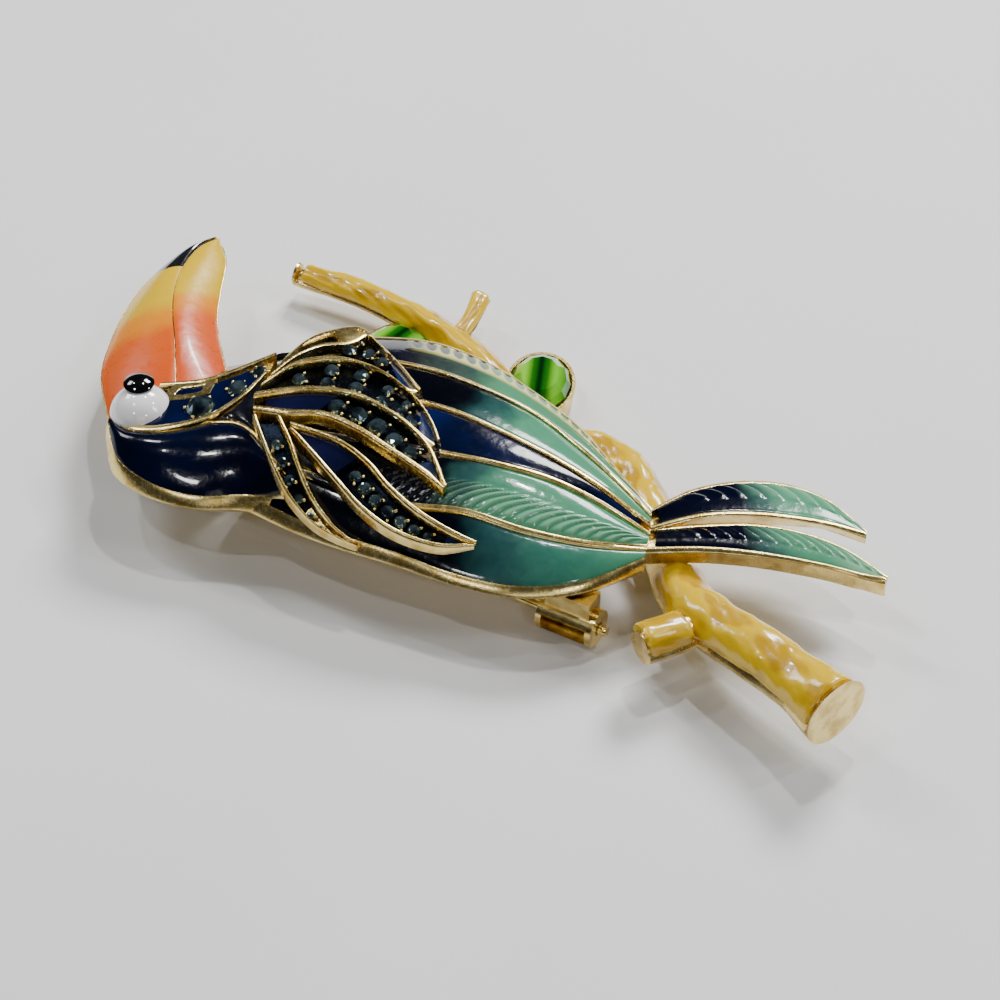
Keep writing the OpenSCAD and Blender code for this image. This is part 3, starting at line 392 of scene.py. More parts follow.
def enamel_skin(shape, curves, rise, span, edges, rows=160, cols=28, sink=0.0, bumps=None):
    """Enamel between two named curves, over a span of steps, inside edges of the given widths."""
    u = np.linspace(span[0] / STEPS, span[1] / STEPS, rows + 1)
    a, b = curve(curves[0], u), curve(curves[1], u)
    e0, e1 = inset(a, b, edges[0])[:, None], inset(a, b, edges[1])[:, None]
    t = np.linspace(0, 1, cols + 1)[None, :]
    v = e0 + (1 - e0 - e1) * t
    top = between(a, b, v, rise)
    top[..., 2] -= sink + EDGE_DIP * (1 - smooth(np.minimum(t, 1 - t), 0.0, 0.06))
    marks = np.zeros(v.shape)
    if bumps:
        lift, marks = bumps(u[:, None], v, top)
        top[..., 2] += lift
    places = np.stack([np.broadcast_to(u[:, None], v.shape), v], -1)
    slab(shape, top, ENAMEL, places, marks)


def enamel(name, curves, rise, span, edges, material, node=None, **settings):
    """One piece of a single enamel skin, in place of the node with its name or another."""
    shape = Shape()
    enamel_skin(shape, curves, rise, span, edges, **settings)
    shape.build(name, node or name, material)


def ribbon(shape, name, end, width, lift):
    """A thin domed strip over a curve, from its start to a share of its course."""
    u = np.linspace(0, end, 41)
    middle = curve(name, u)
    along = np.gradient(middle, axis=0)
    side = np.stack([-along[:, 1], along[:, 0], np.zeros(len(u))], 1)
    side /= np.linalg.norm(side, axis=1)[:, None]
    across = np.linspace(-1, 1, 7)
    top = middle[:, None] + side[:, None] * (across / 2 * width)[None, :, None]
    top[..., 2] += lift - 0.25 * across[None, :] ** 2
    slab(shape, top, 0.2, no_places(top))


def way(top):
    """Distance in millimetres along the middle of a grid of points."""
    mid = top[:, top.shape[1] // 2]
    return np.concatenate([[0], np.cumsum(np.linalg.norm(np.diff(mid, axis=0), axis=1))])[:, None]


def arc_ribs(pitch, height, low, high, lean):
    """Curved ribs pitch apart, pressed over a panel between two places across it."""
    def bumps(u, v, top):
        s = way(top)
        phase = (s + lean * (v - low) ** 2 * 10) / pitch
        saw = phase - np.floor(phase)
        rib = smooth(saw, 0.0, 0.75) * (1 - smooth(saw, 0.8, 1.0))
        fade = smooth(v, low, low + 0.12) * (1 - smooth(v, high - 0.12, high))
        fade = fade * smooth(u, 0.1, 0.3) * (1 - smooth(u, 0.93, 1.0))
        return height * rib * fade, rib * fade
    return bumps


def oval_cells(pitch, height, low, high, start, end):
    """A row of oval cells along a panel, parted by raised ridges.

    The row lies between places low and high across the panel, start and end along it.
    """
    def bumps(u, v, top):
        place = way(top) / pitch
        x = 2 * (place - np.floor(place)) - 1
        y = (2 * v - low - high) / (high - low)
        ridge = smooth(np.sqrt(x**2 + y**2), 0.62, 0.92) * (1 - smooth(np.abs(y), 1.0, 1.3))
        ridge = ridge * smooth(u, start, start + 0.03) * (1 - smooth(u, end - 0.03, end))
        return height * ridge, ridge
    return bumps


# Materials, all procedural.


def srgb(r, g, b):
    """A colour for a socket from the usual 0 to 255 values."""
    return tuple(c / 255 / 12.92 if c <= 10 else ((c / 255 + 0.055) / 1.055) ** 2.4
                 for c in (r, g, b)) + (1.0,)


class Paint:
    """A material with its main shader and short ways to add nodes."""

    def __init__(self, name, **settings):
        self.material = bpy.data.materials.new(name)
        self.material.use_nodes = True
        self.tree = self.material.node_tree
        self.shader = self.tree.nodes["Principled BSDF"]
        for key, value in settings.items():
            self.shader.inputs[key.replace("_", " ")].default_value = value

    def node(self, kind, **settings):
        n = self.tree.nodes.new(kind)
        for key, value in settings.items():
            setattr(n, key, value)
        return n

    def link(self, a, b):
        self.tree.links.new(a, b)

    def noise(self, scale, detail=3.0, distortion=0.0):
        """Noise in the object's own space; scale counts features in a millimetre."""
        place = self.node("ShaderNodeTexCoord")
        fit = self.node("ShaderNodeMapping")
        fit.inputs["Scale"].default_value = (1 / MM, 1 / MM, 1 / MM)
        n = self.node("ShaderNodeTexNoise")
        n.inputs["Scale"].default_value = scale
        n.inputs["Detail"].default_value = detail
        n.inputs["Distortion"].default_value = distortion
        self.link(place.outputs["Object"], fit.inputs["Vector"])
        self.link(fit.outputs["Vector"], n.inputs["Vector"])
        return n.outputs["Fac"]

    def along(self):
        """Where a point lies along its panel, from 0 to 1."""
        uv = self.node("ShaderNodeUVMap", uv_map="place")
        parts = self.node("ShaderNodeSeparateXYZ")
        self.link(uv.outputs["UV"], parts.inputs["Vector"])
        return parts.outputs["X"]

    def mark(self):
        """How far a point is marked, as on a rib or a sunk floor, from 0 to 1."""
        return self.node("ShaderNodeAttribute", attribute_name="mark").outputs["Fac"]

    def math(self, operation, a, b, clamp=False):
        n = self.node("ShaderNodeMath", operation=operation, use_clamp=clamp)
        for socket, value in zip(n.inputs, (a, b)):
            if isinstance(value, (int, float)):
                socket.default_value = value
            else:
                self.link(value, socket)
        return n.outputs["Value"]

    def ramp(self, fac, stops):
        n = self.node("ShaderNodeValToRGB")
        n.color_ramp.interpolation = "EASE"
        while len(n.color_ramp.elements) < len(stops):
            n.color_ramp.elements.new(0.5)
        for element, (at, colour) in zip(n.color_ramp.elements, stops):
            element.position = at
            element.color = colour
        self.link(fac, n.inputs["Fac"])
        return n.outputs["Color"]

    def mix(self, fac, a, b):
        n = self.node("ShaderNodeMix", data_type="RGBA")
        for socket, value in ((n.inputs["Factor"], fac), (n.inputs[6], a), (n.inputs[7], b)):
            if isinstance(value, (int, float, tuple)):
                socket.default_value = value
            else:
                self.link(value, socket)
        return n.outputs[2]

    def colour(self, socket):
        self.link(socket, self.shader.inputs["Base Color"])

    def rough(self, fac, low, high):
        n = self.node("ShaderNodeMapRange")
        n.inputs["To Min"].default_value = low
        n.inputs["To Max"].default_value = high
        self.link(fac, n.inputs["Value"])
        self.link(n.outputs["Result"], self.shader.inputs["Roughness"])

    def bump(self, height, depth, strength):
        """Raised and sunk by depth millimetres."""
        n = self.node("ShaderNodeBump")
        n.inputs["Distance"].default_value = depth * MM
        n.inputs["Strength"].default_value = strength
        self.link(height, n.inputs["Height"])
        self.link(n.outputs["Normal"], self.shader.inputs["Normal"])


NAVY = srgb(4, 8, 28)
DEEP = srgb(2, 3, 9)
# BLUE is a mark colour of the dark enamels and the colour of their painted sheen.
BLUE = srgb(10, 36, 108)
DUSK = srgb(24, 62, 66)
TEAL = srgb(64, 136, 102)
PALE = srgb(130, 188, 148)
GREEN_TEAL = srgb(36, 98, 84)
GOLD = srgb(250, 226, 150)
GOLD_DARK = srgb(210, 178, 100)
YELLOW = srgb(222, 182, 0)
OLIVE = srgb(180, 136, 0)
AMBER = srgb(230, 138, 0)
ORANGE = srgb(218, 88, 0)
RED_ORANGE = srgb(206, 74, 0)


def gold_paint(name, rough=(0.16, 0.34), dark_floor_and_shade=False):
    """Clouded plated gold; where asked, its marked floors are painted dark, and in deep cuts that is
    painted shade.
    """
    p = Paint(name, Metallic=1.0)
    cloud = p.noise(0.7)
    colour = p.ramp(cloud, [(0.3, GOLD_DARK), (0.62, GOLD)])
    # Marked floors turn dark: the floors between the stones, and painted shade in the slot, hole and
    # slit.
    if dark_floor_and_shade:
        colour = p.mix(p.mark(), colour, srgb(16, 22, 32))
    p.colour(colour)
    p.rough(p.noise(2.5), *rough)
    p.bump(p.noise(5.0), 0.02, 0.5)
    return p.material


def enamel_paint(name, stops, mark=PALE, mark_share=0.5, cloudy=0.35, painted_sheen_share=0.1, dark_until=0.0):
    """Glossy enamel whose colour runs along its panel.

    Past dark_until, clouds and ribs show in the mark colour; broad patches are painted blue as painted
    sheen.
    """
    p = Paint(name, Coat_Weight=0.3, Coat_Roughness=0.03, Specular_IOR_Level=0.2)
    waver = p.math("MULTIPLY", p.math("SUBTRACT", p.noise(0.35, 2), 0.5), 0.12)
    along = p.math("ADD", p.along(), waver)
    colour = p.ramp(along, stops)
    fade_in = 8.0 if dark_until else 100.0
    light_part = p.math("MULTIPLY", p.math("SUBTRACT", along, dark_until), fade_in, clamp=True)
    cloud = p.math("MULTIPLY", p.noise(0.9, 4, 0.8), light_part)
    ridge = p.math("MULTIPLY", p.mark(), light_part)
    colour = p.mix(p.math("MULTIPLY", cloud, cloudy), colour, p.mix(0.5, colour, mark))
    colour = p.mix(p.math("MULTIPLY", ridge, mark_share), colour, mark)
    # Painted sheen: noise patches mixed towards blue stand in for broad highlights.
    painted_blue_sheen = p.math("MULTIPLY", p.math("POWER", p.noise(0.25, 1), 3.0), painted_sheen_share)
    p.colour(p.mix(painted_blue_sheen, colour, BLUE))
    p.rough(p.noise(1.5), 0.08, 0.2)
    p.bump(p.noise(1.2, 2), 0.04, 0.6)
    return p.material


def plain_paint(name, colour, shade, rough=(0.1, 0.25)):
    """Glossy enamel of one colour, clouded with a shade."""
    p = Paint(name, Coat_Weight=1.0, Coat_Roughness=0.03)
    p.colour(p.ramp(p.noise(1.0), [(0.3, shade), (0.7, colour)]))
    p.rough(p.noise(2.0), *rough)
    p.bump(p.noise(3.0), 0.02, 0.5)
    return p.material


def beak_paint(name, stops):
    """Softer enamel whose colours flow into each other along the beak."""
    p = Paint(name, Coat_Weight=0.5, Coat_Roughness=0.05)
    waver = p.math("MULTIPLY", p.math("SUBTRACT", p.noise(0.3, 2), 0.5), 0.1)
    p.colour(p.ramp(p.math("ADD", p.along(), waver), stops))
    p.rough(p.noise(1.0), 0.2, 0.38)
    p.bump(p.noise(0.9, 2), 0.05, 0.6)
    return p.material


gold = gold_paint("gold")
gold_feather = gold_paint("gold_feather", dark_floor_and_shade=True)
gold_wire = gold_paint("gold_wire", (0.14, 0.3))


# Metal of the body, head, beak and tail.

BODY_LINES = ["near_edge", "line_4", "line_3", "line_2", "line_1", "far_edge"]
metal = Shape()
relief(metal, BODY_LINES, [0.5, 0.5, 0.15, 0.35, 0.35], (RIM, RIM), draw=WALL_DRAW)
relief(metal, ["nape_low", "nape_high"], [1.4], (RIM, LINE), up=0.1, draw=WALL_DRAW)
relief(metal, ["stripe_low", "stripe_high"], [0.0], (RIM, LINE), edge_up=0.1)
relief(metal, ["beak_right", "beak_mid", "beak_left"], [0.4, 0.5], (LINE / 2, LINE / 2), up=-0.25,
       edge_up=-0.1, draw=WALL_DRAW)
relief(metal, ["tail_mid", "tail_far"], [0.35], (LINE, LINE), draw=0.9, depth=(2.6, 0.8))
relief(metal, ["tail_near", "tail_fork"], [0.35], (LINE, LINE), draw=0.6, depth=(3.2, 1.5))
u = np.linspace(0, 1, 41)
across = np.linspace(0.04, 0.96, 9)[None, :]
throat = between(curve("stripe_low", u), curve("head_far", u), across, 0.1)
throat[..., 2] -= SINK
pillar(metal, throat, no_places(throat))
metal.build("casting_body", "casting", gold)


# Metal of the laid-on feathers.

# near and far rim in millimetres
FEATHER_RIMS = {"a": (RIM, RIM), "b": (RIM, NARROW_RIM), "c": (RIM, NARROW_RIM),
                "d": (NARROW_RIM, NARROW_RIM), "e": (NARROW_RIM, NARROW_RIM)}
# wall's depth at the root and at the tip in millimetres
FEATHER_DEPTH = {"a": (2.2, 1.6), "b": (1.3, 0.9), "c": (1.2, 0.8), "d": (1.1, 0.5), "e": (1.1, 0.4)}
feathers = Shape()
for letter, rims in FEATHER_RIMS.items():
    u = np.linspace(0, 1, 121)
    lines = [curve(letter + "_near", u), curve(letter + "_far", u)]
    top, across = relief_columns(lines, [0.0], FEATHER_SINK, rims, 0.0, 0.06, 0.25)
    marks = np.zeros(top.shape[:2])
    # the sunk floor between the rims is marked, so the gold paint turns it dark
    marks[:, len(RIM_SECTION):-len(RIM_SECTION)] = 1.0
    places = np.stack(np.broadcast_arrays(u[:, None], across[None, :]), -1)
    pillar(feathers, top, places, marks, depth=FEATHER_DEPTH[letter])

# Broad gold band along feather a's far side, with a slot and a hole in it, their floors painted dark as
# painted shade.
# columns: start and end along the band, start and end across it, depth in millimetres
BAND_CUTS = [(0.24, 0.60, 0.16, 0.78, 0.7), (0.80, 0.90, 0.30, 0.66, 0.5)]
BAND_END = 0.60
u = np.linspace(0.03, BAND_END, 121)
across = np.linspace(0, 1, 25)
start = (0.25 + 0.25 * smooth(u, 0, 0.3) + 0.4 * smooth(u, 0.34, BAND_END))[:, None]
band = between(curve("a_near", u), curve("a_far", u), start + (1 - start) * across[None, :], 0.0)
band[..., 2] += 0.05 + 0.1 * np.sqrt(1 - (2 * across - 1) ** 2)[None, :]
marks = np.zeros(band.shape[:2])
along = (u / BAND_END)[:, None]
for u0, u1, v0, v1, depth in BAND_CUTS:
    cut = (smooth(along, u0, u0 + 0.03) * (1 - smooth(along, u1 - 0.03, u1))
           * smooth(across[None, :], v0, v0 + 0.06) * (1 - smooth(across[None, :], v1 - 0.06, v1)))
    band[..., 2] -= depth * cut
    marks = np.maximum(marks, cut)
pillar(feathers, band, no_places(band), marks, depth=(1.5, 1.5))

# Gold flat in the head's stripe, with a slit in it that is painted dark as painted shade.
FLAT_START, FLAT_END = 0.15, 0.52
u = np.linspace(FLAT_START, FLAT_END, 61)
across = np.linspace(0.60, 0.95, 21)
along = ((u - FLAT_START) / (FLAT_END - FLAT_START))[:, None]
flat = between(curve("stripe_low", u), curve("stripe_high", u),
               np.broadcast_to(across, (len(u), len(across))), 0.0)
slit = (smooth(along, 0.22, 0.28) * (1 - smooth(along, 0.72, 0.80))
        * (smooth(across, 0.70, 0.73) * (1 - smooth(across, 0.82, 0.85)))[None, :])
flat[..., 2] += 0.05 - 0.4 * slit
pillar(feathers, flat, no_places(flat), slit, depth=(0.6, 0.6))
feathers.build("casting_feathers", "casting", gold_feather, sharp=50)


# Branch.

LIMB_SIDES = 40
BARK_COLUMNS = 26
BARK_FROM, BARK_TO = -4, 184  # degrees round the limb that its enamel covers
BARK_SEED = 5
# how much wider a limb grows at its cut end, in millimetres
END_FLARE = {"branch": 0.3, "stub": 0.1, "twig": 0.0}
# each node's runs of enamel: limb, start and end along it
BARK = {"bark_far": [("branch", 0.016, 0.342), ("twig", 0.2, 0.97)],
        "bark_middle": [("branch", 0.350, 0.667)],
        "bark_near": [("branch", 0.704, 0.987), ("stub", 0.3, 0.93)]}


def limb_length(name, steps):
    path = spline(LIMBS[name], np.linspace(0, 1, steps))[:, :3]
    return np.linalg.norm(np.diff(path, axis=0), axis=1).sum()


def limb_rings(name, shares, angles, lift):
    """Points round a limb; lift is the radius's change in millimetres at each share and angle."""
    rows = LIMBS[name]
    p = spline(rows, shares)
    ahead = spline(rows, np.minimum(1, shares + 0.005))
    behind = spline(rows, np.maximum(0, shares - 0.005))
    along = (ahead - behind)[:, :2]
    along /= np.linalg.norm(along, axis=1)[:, None]
    side = np.stack([-along[:, 1], along[:, 0], np.zeros(len(p))], 1)
    w = np.radians(angles)[None, :, None]
    out = side[:, None] * np.cos(w) + np.array([0, 0, 1.0]) * np.sin(w)
    return p[:, None, :3] + out * (p[:, 3][:, None] + lift)[..., None]


def end_flare(name, u, length):
    return END_FLARE[name] * (1 - smooth((1 - u)[:, None] * length, 0.2, 5.0))


def limb_metal(shape, name, rows):
    """A limb's metal: full below and at the branch's cut ends, sunk under the enamel above."""
    u = np.linspace(0, 1, rows + 1)
    angles = np.arange(LIMB_SIDES) * 360 / LIMB_SIDES
    length = limb_length(name, rows + 1)
    low = smooth(np.abs((angles + 90) % 360 - 180), 80, 100)[None, :]
    uneven = ripple(u[:, None] * length * 0.8, angles[None, :] / 25, 3)
    to_end = np.minimum(u, 1 - u)[:, None] * length
    inside = smooth(to_end, 0.3, 0.5) if name == "branch" else 1.0
    lift = -0.55 * (1 - low) * inside + low * (0.05 * uneven - 0.05)
    points = limb_rings(name, u, angles, lift + end_flare(name, u, length))
    faces = ring_faces(rows + 1, LIMB_SIDES, flip=True)
    shape.add(points, faces + [face[::-1] for face in end_faces(rows + 1, LIMB_SIDES)])


def bark(shape, name, span, rows):
    """Enamel over a limb's upper side, with long uneven ridges like bark."""
    u = np.linspace(span[0], span[1], rows + 1)
    angles = np.linspace(BARK_FROM, BARK_TO, BARK_COLUMNS + 1)
    length = limb_length(name, 60)
    s, w = u[:, None] * length, angles[None, :] / 18
    ridges = ripple(s * 0.55, w * 1.3, BARK_SEED)
    knots = np.maximum(0, ripple(s * 1.3, w * 0.8, BARK_SEED + 1) - 0.5)
    edge = 1 - smooth(np.minimum(angles - BARK_FROM, BARK_TO - angles), 0, 12)[None, :]
    ends = 1 - smooth(np.minimum(u - span[0], span[1] - u) * length, 0, 0.35)[:, None]
    lift = 0.16 * ridges + 0.16 * knots - 0.05 - 0.25 * edge - 0.12 * ends
    top = limb_rings(name, u, angles, np.minimum(lift, 0.1) + end_flare(name, u, length))
    under = limb_rings(name, u, angles, np.full(lift.shape, -0.5))
    rows, cols = lift.shape
    n, m = rows * cols, rim_of(rows, cols)
    faces = grid_faces(rows, cols) + grid_faces(rows, cols, n, flip=True)
    faces += [[q, p, n + p, n + q] for p, q in zip(m, m[1:] + m[:1])]
    places = np.stack(np.broadcast_arrays(u[:, None], angles[None, :] / 180), -1).reshape(-1, 2)
    # Ridge height, which the bark's paint turns into painted shade in the grooves.
    marks = np.clip(0.5 + ridges, 0, 1).ravel()
    shape.add(np.vstack([top.reshape(-1, 3), under.reshape(-1, 3)]), faces,
              np.vstack([places, places]), np.concatenate([marks, marks]))


wood = Shape()
for name in LIMBS:
    limb_metal(wood, name, rows=220 if name == "branch" else 24)
wood.build("casting_branch", "casting", gold)

for node, runs in BARK.items():
    shape = Shape()
    for limb, start, end in runs:
        bark(shape, limb, (start, end), rows=120 if limb == "branch" else 24)
    paint = Paint(node, Coat_Weight=0.6, Coat_Roughness=0.04)
    # Painted shade: olive in the grooves between the ridges, yellow on their crests.
    groove_shaded_colour = paint.ramp(paint.mark(), [(0.1, OLIVE), (0.6, YELLOW)])
    paint.colour(paint.mix(paint.math("MULTIPLY", paint.noise(0.5), 0.4), groove_shaded_colour, YELLOW))
    paint.rough(paint.noise(1.2), 0.14, 0.34)
    paint.bump(paint.noise(1.6, 3), 0.06, 0.6)
    shape.build(node, node, paint.material)


# Enamel of the nape and the body.

enamel("nape_enamel", ("nape_low", "nape_high"), 1.4, (0, 14), (RIM, LINE),
       enamel_paint("nape_paint", [(0.0, DEEP), (0.45, NAVY), (0.8, DEEP)], mark=BLUE, cloudy=0.06,
                    painted_sheen_share=0.3), rows=120, cols=40)
enamel("nape_edge", ("nape_high", "stripe_low"), 0.0, (8.0, 13.4), (0.25, 0.25),
       plain_paint("nape_edge_paint", DEEP, NAVY), "nape_enamel", rows=60, cols=12, sink=0.1)
# dark enamel over the starts of three lines, as in the photo
cover = Shape()
for line, end in (("line_4", 0.26), ("line_3", 0.42), ("line_2", 0.34)):
    ribbon(cover, line, end, 0.9, LINE_RISE + 0.08)
cover.build("line_cover", "panel_main", plain_paint("cover_paint", DEEP, DEEP))
enamel("panel_near", ("near_edge", "line_4"), 0.5, (1, 14), (RIM, LINE / 2),
       enamel_paint("near_paint", [
           (0.0, DEEP), (0.54, DEEP), (0.66, DUSK), (0.80, GREEN_TEAL), (1.0, TEAL)],
                    cloudy=0.3, dark_until=0.58))
enamel("panel_main", ("line_4", "line_3"), 0.5, (1, 14), (LINE / 2, LINE / 2),
       enamel_paint("main_paint", [(0.0, DEEP), (0.46, DEEP), (0.54, DUSK), (0.64, TEAL), (1.0, TEAL)],
                    mark_share=0.7, cloudy=0.6, dark_until=0.48),
       rows=300, cols=40, bumps=arc_ribs(1.05, 0.17, 0.05, 0.55, -1.3))
enamel("panel_stripe", ("line_3", "line_2"), 0.15, (1, 13.4), (LINE / 2, LINE / 2),
       enamel_paint("stripe_paint", [(0.0, DEEP), (0.45, NAVY), (0.6, NAVY), (1.0, DEEP)],
                    mark=BLUE, cloudy=0.1, painted_sheen_share=0.9), rows=120, cols=20)
enamel("panel_second", ("line_2", "line_1"), 0.35, (1, 14), (LINE / 2, LINE / 2),
       enamel_paint("second_paint", [
           (0.0, DEEP), (0.40, DEEP), (0.50, DUSK), (0.60, TEAL), (1.0, TEAL)],
                    cloudy=0.5, dark_until=0.44))
enamel("panel_far", ("line_1", "far_edge"), 0.35, (1, 14), (LINE / 2, RIM),
       enamel_paint("far_paint", [(0.0, DEEP), (0.24, NAVY), (0.36, DUSK), (0.48, TEAL), (1.0, TEAL)],
                    mark=srgb(206, 200, 120), mark_share=1.0, cloudy=0.2, dark_until=0.2),
       rows=320, cols=40, bumps=oval_cells(1.3, 0.14, 0.50, 0.96, 0.22, 0.97))
enamel("tail_upper_enamel", ("tail_mid", "tail_far"), 0.35, (0.6, 13.8), (LINE, LINE),
       enamel_paint("tail_upper_paint", [
           (0.0, DEEP), (0.36, NAVY), (0.46, DUSK), (0.58, TEAL), (1.0, TEAL)],
                    cloudy=0.5, dark_until=0.36),
       rows=140, bumps=arc_ribs(1.6, 0.18, 0.42, 1.0, 0.7))
enamel("tail_lower_enamel", ("tail_near", "tail_fork"), 0.35, (0.6, 13.8), (LINE, LINE),
       enamel_paint("tail_lower_paint", [
           (0.0, DEEP), (0.34, NAVY), (0.44, DUSK), (0.56, TEAL), (1.0, PALE)],
                    cloudy=0.5, dark_until=0.34),
       rows=140, bumps=arc_ribs(1.25, 0.18, 0.4, 1.0, 0.7))


# Enamel of the beak.

UPPER, UPPER_EDGES, UPPER_RISE = ("beak_mid", "beak_left"), (BEAK_LINE, BEAK_RIM), 0.5
LOWER, LOWER_EDGES, LOWER_RISE = ("beak_right", "beak_mid"), (BEAK_RIM, BEAK_LINE), 0.4
UPPER_STOPS = [(0.0, RED_ORANGE), (0.22, ORANGE), (0.33, AMBER), (0.42, YELLOW), (0.70, YELLOW)]
LOWER_STOPS = [(0.0, RED_ORANGE), (0.27, ORANGE), (0.40, AMBER), (0.50, YELLOW), (0.95, YELLOW)]
enamel("beak_base_upper", UPPER, UPPER_RISE, (0, 4), UPPER_EDGES,
       beak_paint("beak_upper_base_paint", UPPER_STOPS), "beak_base_enamel", rows=40)
enamel("beak_base_lower", LOWER, LOWER_RISE, (0, 5), LOWER_EDGES,
       beak_paint("beak_lower_base_paint", LOWER_STOPS), "beak_base_enamel", rows=50)
enamel("beak_upper_enamel", UPPER, UPPER_RISE, (4, 9), UPPER_EDGES,
       beak_paint("beak_upper_paint", UPPER_STOPS), rows=60)
enamel("beak_lower_enamel", LOWER, LOWER_RISE, (5, 13.6), LOWER_EDGES,
       beak_paint("beak_lower_paint", LOWER_STOPS), rows=80)
enamel("beak_tip_enamel", UPPER, UPPER_RISE, (9, 13.6), UPPER_EDGES,
       plain_paint("beak_tip_paint", srgb(26, 28, 36), srgb(12, 12, 18)), rows=40)


# Enamel of the head's stripe, the feathers and the throat.

enamel("stripe_enamel", ("stripe_low", "stripe_high"), 0.0, (0.6, 13), (RIM, 1.2),
       enamel_paint("stripe_head_paint", [(0.0, DEEP), (0.5, NAVY), (1.0, DEEP)], mark=BLUE,
                    painted_sheen_share=0.4), rows=60, cols=20)
# each feather tip's span of steps
TIPS = {"a": (10, 13.2), "b": (10, 13.2), "c": (11, 13.2), "d": (12, 13.4), "e": (11, 13.4)}
tips = Shape()
for letter, span in TIPS.items():
    enamel_skin(tips, (letter + "_near", letter + "_far"), 0.0, span, FEATHER_RIMS[letter],
                rows=24, cols=14, sink=TIP_SINK)
tips.build("feather_tip_enamel", "feather_tip_enamel",
           enamel_paint("feather_tip_paint", [(0.0, NAVY), (0.7, srgb(10, 26, 70)), (1.0, DEEP)],
                        mark=srgb(40, 76, 140), cloudy=0.3, painted_sheen_share=0.3))
bases = Shape()
for letter in ("c", "d"):
    enamel_skin(bases, (letter + "_near", letter + "_far"), 0.0, (0.8, 4), FEATHER_RIMS[letter],
                rows=30, cols=16, sink=TIP_SINK)
bases.build("feather_base_enamel", "feather_base_enamel",
            enamel_paint("feather_base_paint", [(0.0, DEEP), (0.15, srgb(12, 13, 44)), (0.3, NAVY)],
                         mark=srgb(50, 52, 110), cloudy=0.15))
enamel("throat_enamel", ("stripe_high", "head_far"), 0.0, (8, 14), (0.3, 0.6),
       enamel_paint("throat_paint", [(0.0, DEEP), (0.6, NAVY), (1.0, srgb(10, 24, 70))], mark=BLUE,
                    painted_sheen_share=0.3), rows=60, cols=20, sink=0.15)


# Eye.


def dome(name, centre, radius, height, material, rings=24, sides=72):
    """Top of a ball with a flat base."""
    ball_radius = (radius**2 + height**2) / (2 * height)
    reach = math.asin(min(1, radius / ball_radius))
    if height > ball_radius:
        reach = math.pi - reach
    points, faces = globe(reach * np.arange(1, rings + 1) / rings, sides)
    faces.append([len(points) - 1 - k for k in range(sides)])
    shape = Shape()
    shape.add(points * ball_radius + centre + [0, 0, height - ball_radius], faces)
    shape.build(name, name, material)


dome("eye_white", (-32.264, -0.444, 8.625), 2.75, 2.2,
     plain_paint("eye_paint", srgb(252, 252, 252), srgb(246, 247, 248), rough=(0.08, 0.16)))
dome("pupil", (-32.634, 0.444, 10.905), 1.35, 0.47,
     plain_paint("pupil_paint", srgb(12, 12, 14), srgb(4, 4, 5), rough=(0.05, 0.1)))


# Stones.

# columns: place along the feather, place across it, and width in millimetres
STONES = {
    "a": [(0.39, 0.46, 1.36), (0.485, 0.46, 1.326), (0.58, 0.46, 1.156), (0.46, 0.73, 1.156)],
    "b": [(0.16, 0.52, 1.36), (0.25, 0.34, 1.36), (0.28, 0.72, 1.36), (0.35, 0.32, 1.428),
        (0.39, 0.72, 1.394), (0.455, 0.31, 1.309), (0.5, 0.66, 1.156), (0.555, 0.3, 1.19),
        (0.605, 0.66, 0.952), (0.65, 0.32, 0.918)],
    "c": [(0.33, 0.5, 1.666), (0.42, 0.49, 1.734), (0.515, 0.48, 1.768), (0.61, 0.45, 1.632),
        (0.7, 0.47, 1.462)],
    "d": [(0.345, 0.55, 1.19), (0.417, 0.54, 1.258), (0.491, 0.54, 1.258), (0.565, 0.53, 1.258),
        (0.638, 0.53, 1.19), (0.708, 0.53, 1.122), (0.774, 0.54, 0.952)],
    "e": [(0.17, 0.53, 1.054), (0.27, 0.54, 1.088), (0.37, 0.55, 1.054), (0.47, 0.57, 0.918),
        (0.57, 0.58, 0.714), (0.65, 0.6, 0.442)],
}
# columns: x, y, z and width of a head stone
HEAD_STONES = {"head_stone_large": (-26.788, -0.074, 10.0, 2.635),
               "head_stone_middle": (-24.272, 2.59, 10.375, 1.955),
               "head_stone_small": (-23.088, 4.884, 10.625, 1.36)}
BEAD = 0.17  # radius of a prong's bead
# Shares of a stone's width from its middle to a bead, in a row and round a head stone.
BEAD_IN_ROW = 0.42
BEAD_ROUND = 0.53
HEAD_BEADS = 6
LEVEL = np.eye(3)


def brilliant(shape, at, axes, w, sides=8):
    """A round cut stone: table, star, kite and girdle facets over a blunt pavilion."""
    t, s, n = axes
    # columns: radius and height as shares of the width, points, turn in points
    rings = [(0.28, 0.30, sides, 0.0), (0.415, 0.17, sides, 0.5), (0.5, 0.0, sides * 2, 0.0),
             (0.20, -0.22, sides, 0.0)]
    points, start = [], []
    for radius, height, count, turn in rings:
        start.append(len(points))
        for k in range(count):
            a = 2 * math.pi * (k + turn) / count
            points.append(at + (t * math.cos(a) + s * math.sin(a)) * radius * w + n * height * w)
    table, mid, girdle, base = start
    faces = [[table + k for k in range(sides)], [base + k for k in range(sides)][::-1]]
    for k in range(sides):
        q = (k + 1) % sides
        before = (k - 1) % sides
        g, g1, g2 = girdle + 2 * k, girdle + 2 * k + 1, girdle + (2 * k + 2) % (2 * sides)
        faces += [[table + k, mid + k, table + q], [table + k, mid + before, g, mid + k],
                  [mid + k, g, g1], [mid + k, g1, g2],
                  [g1, g, base + k], [g1, base + k, base + q], [g2, g1, base + q]]
    shape.add(np.array(points), faces)


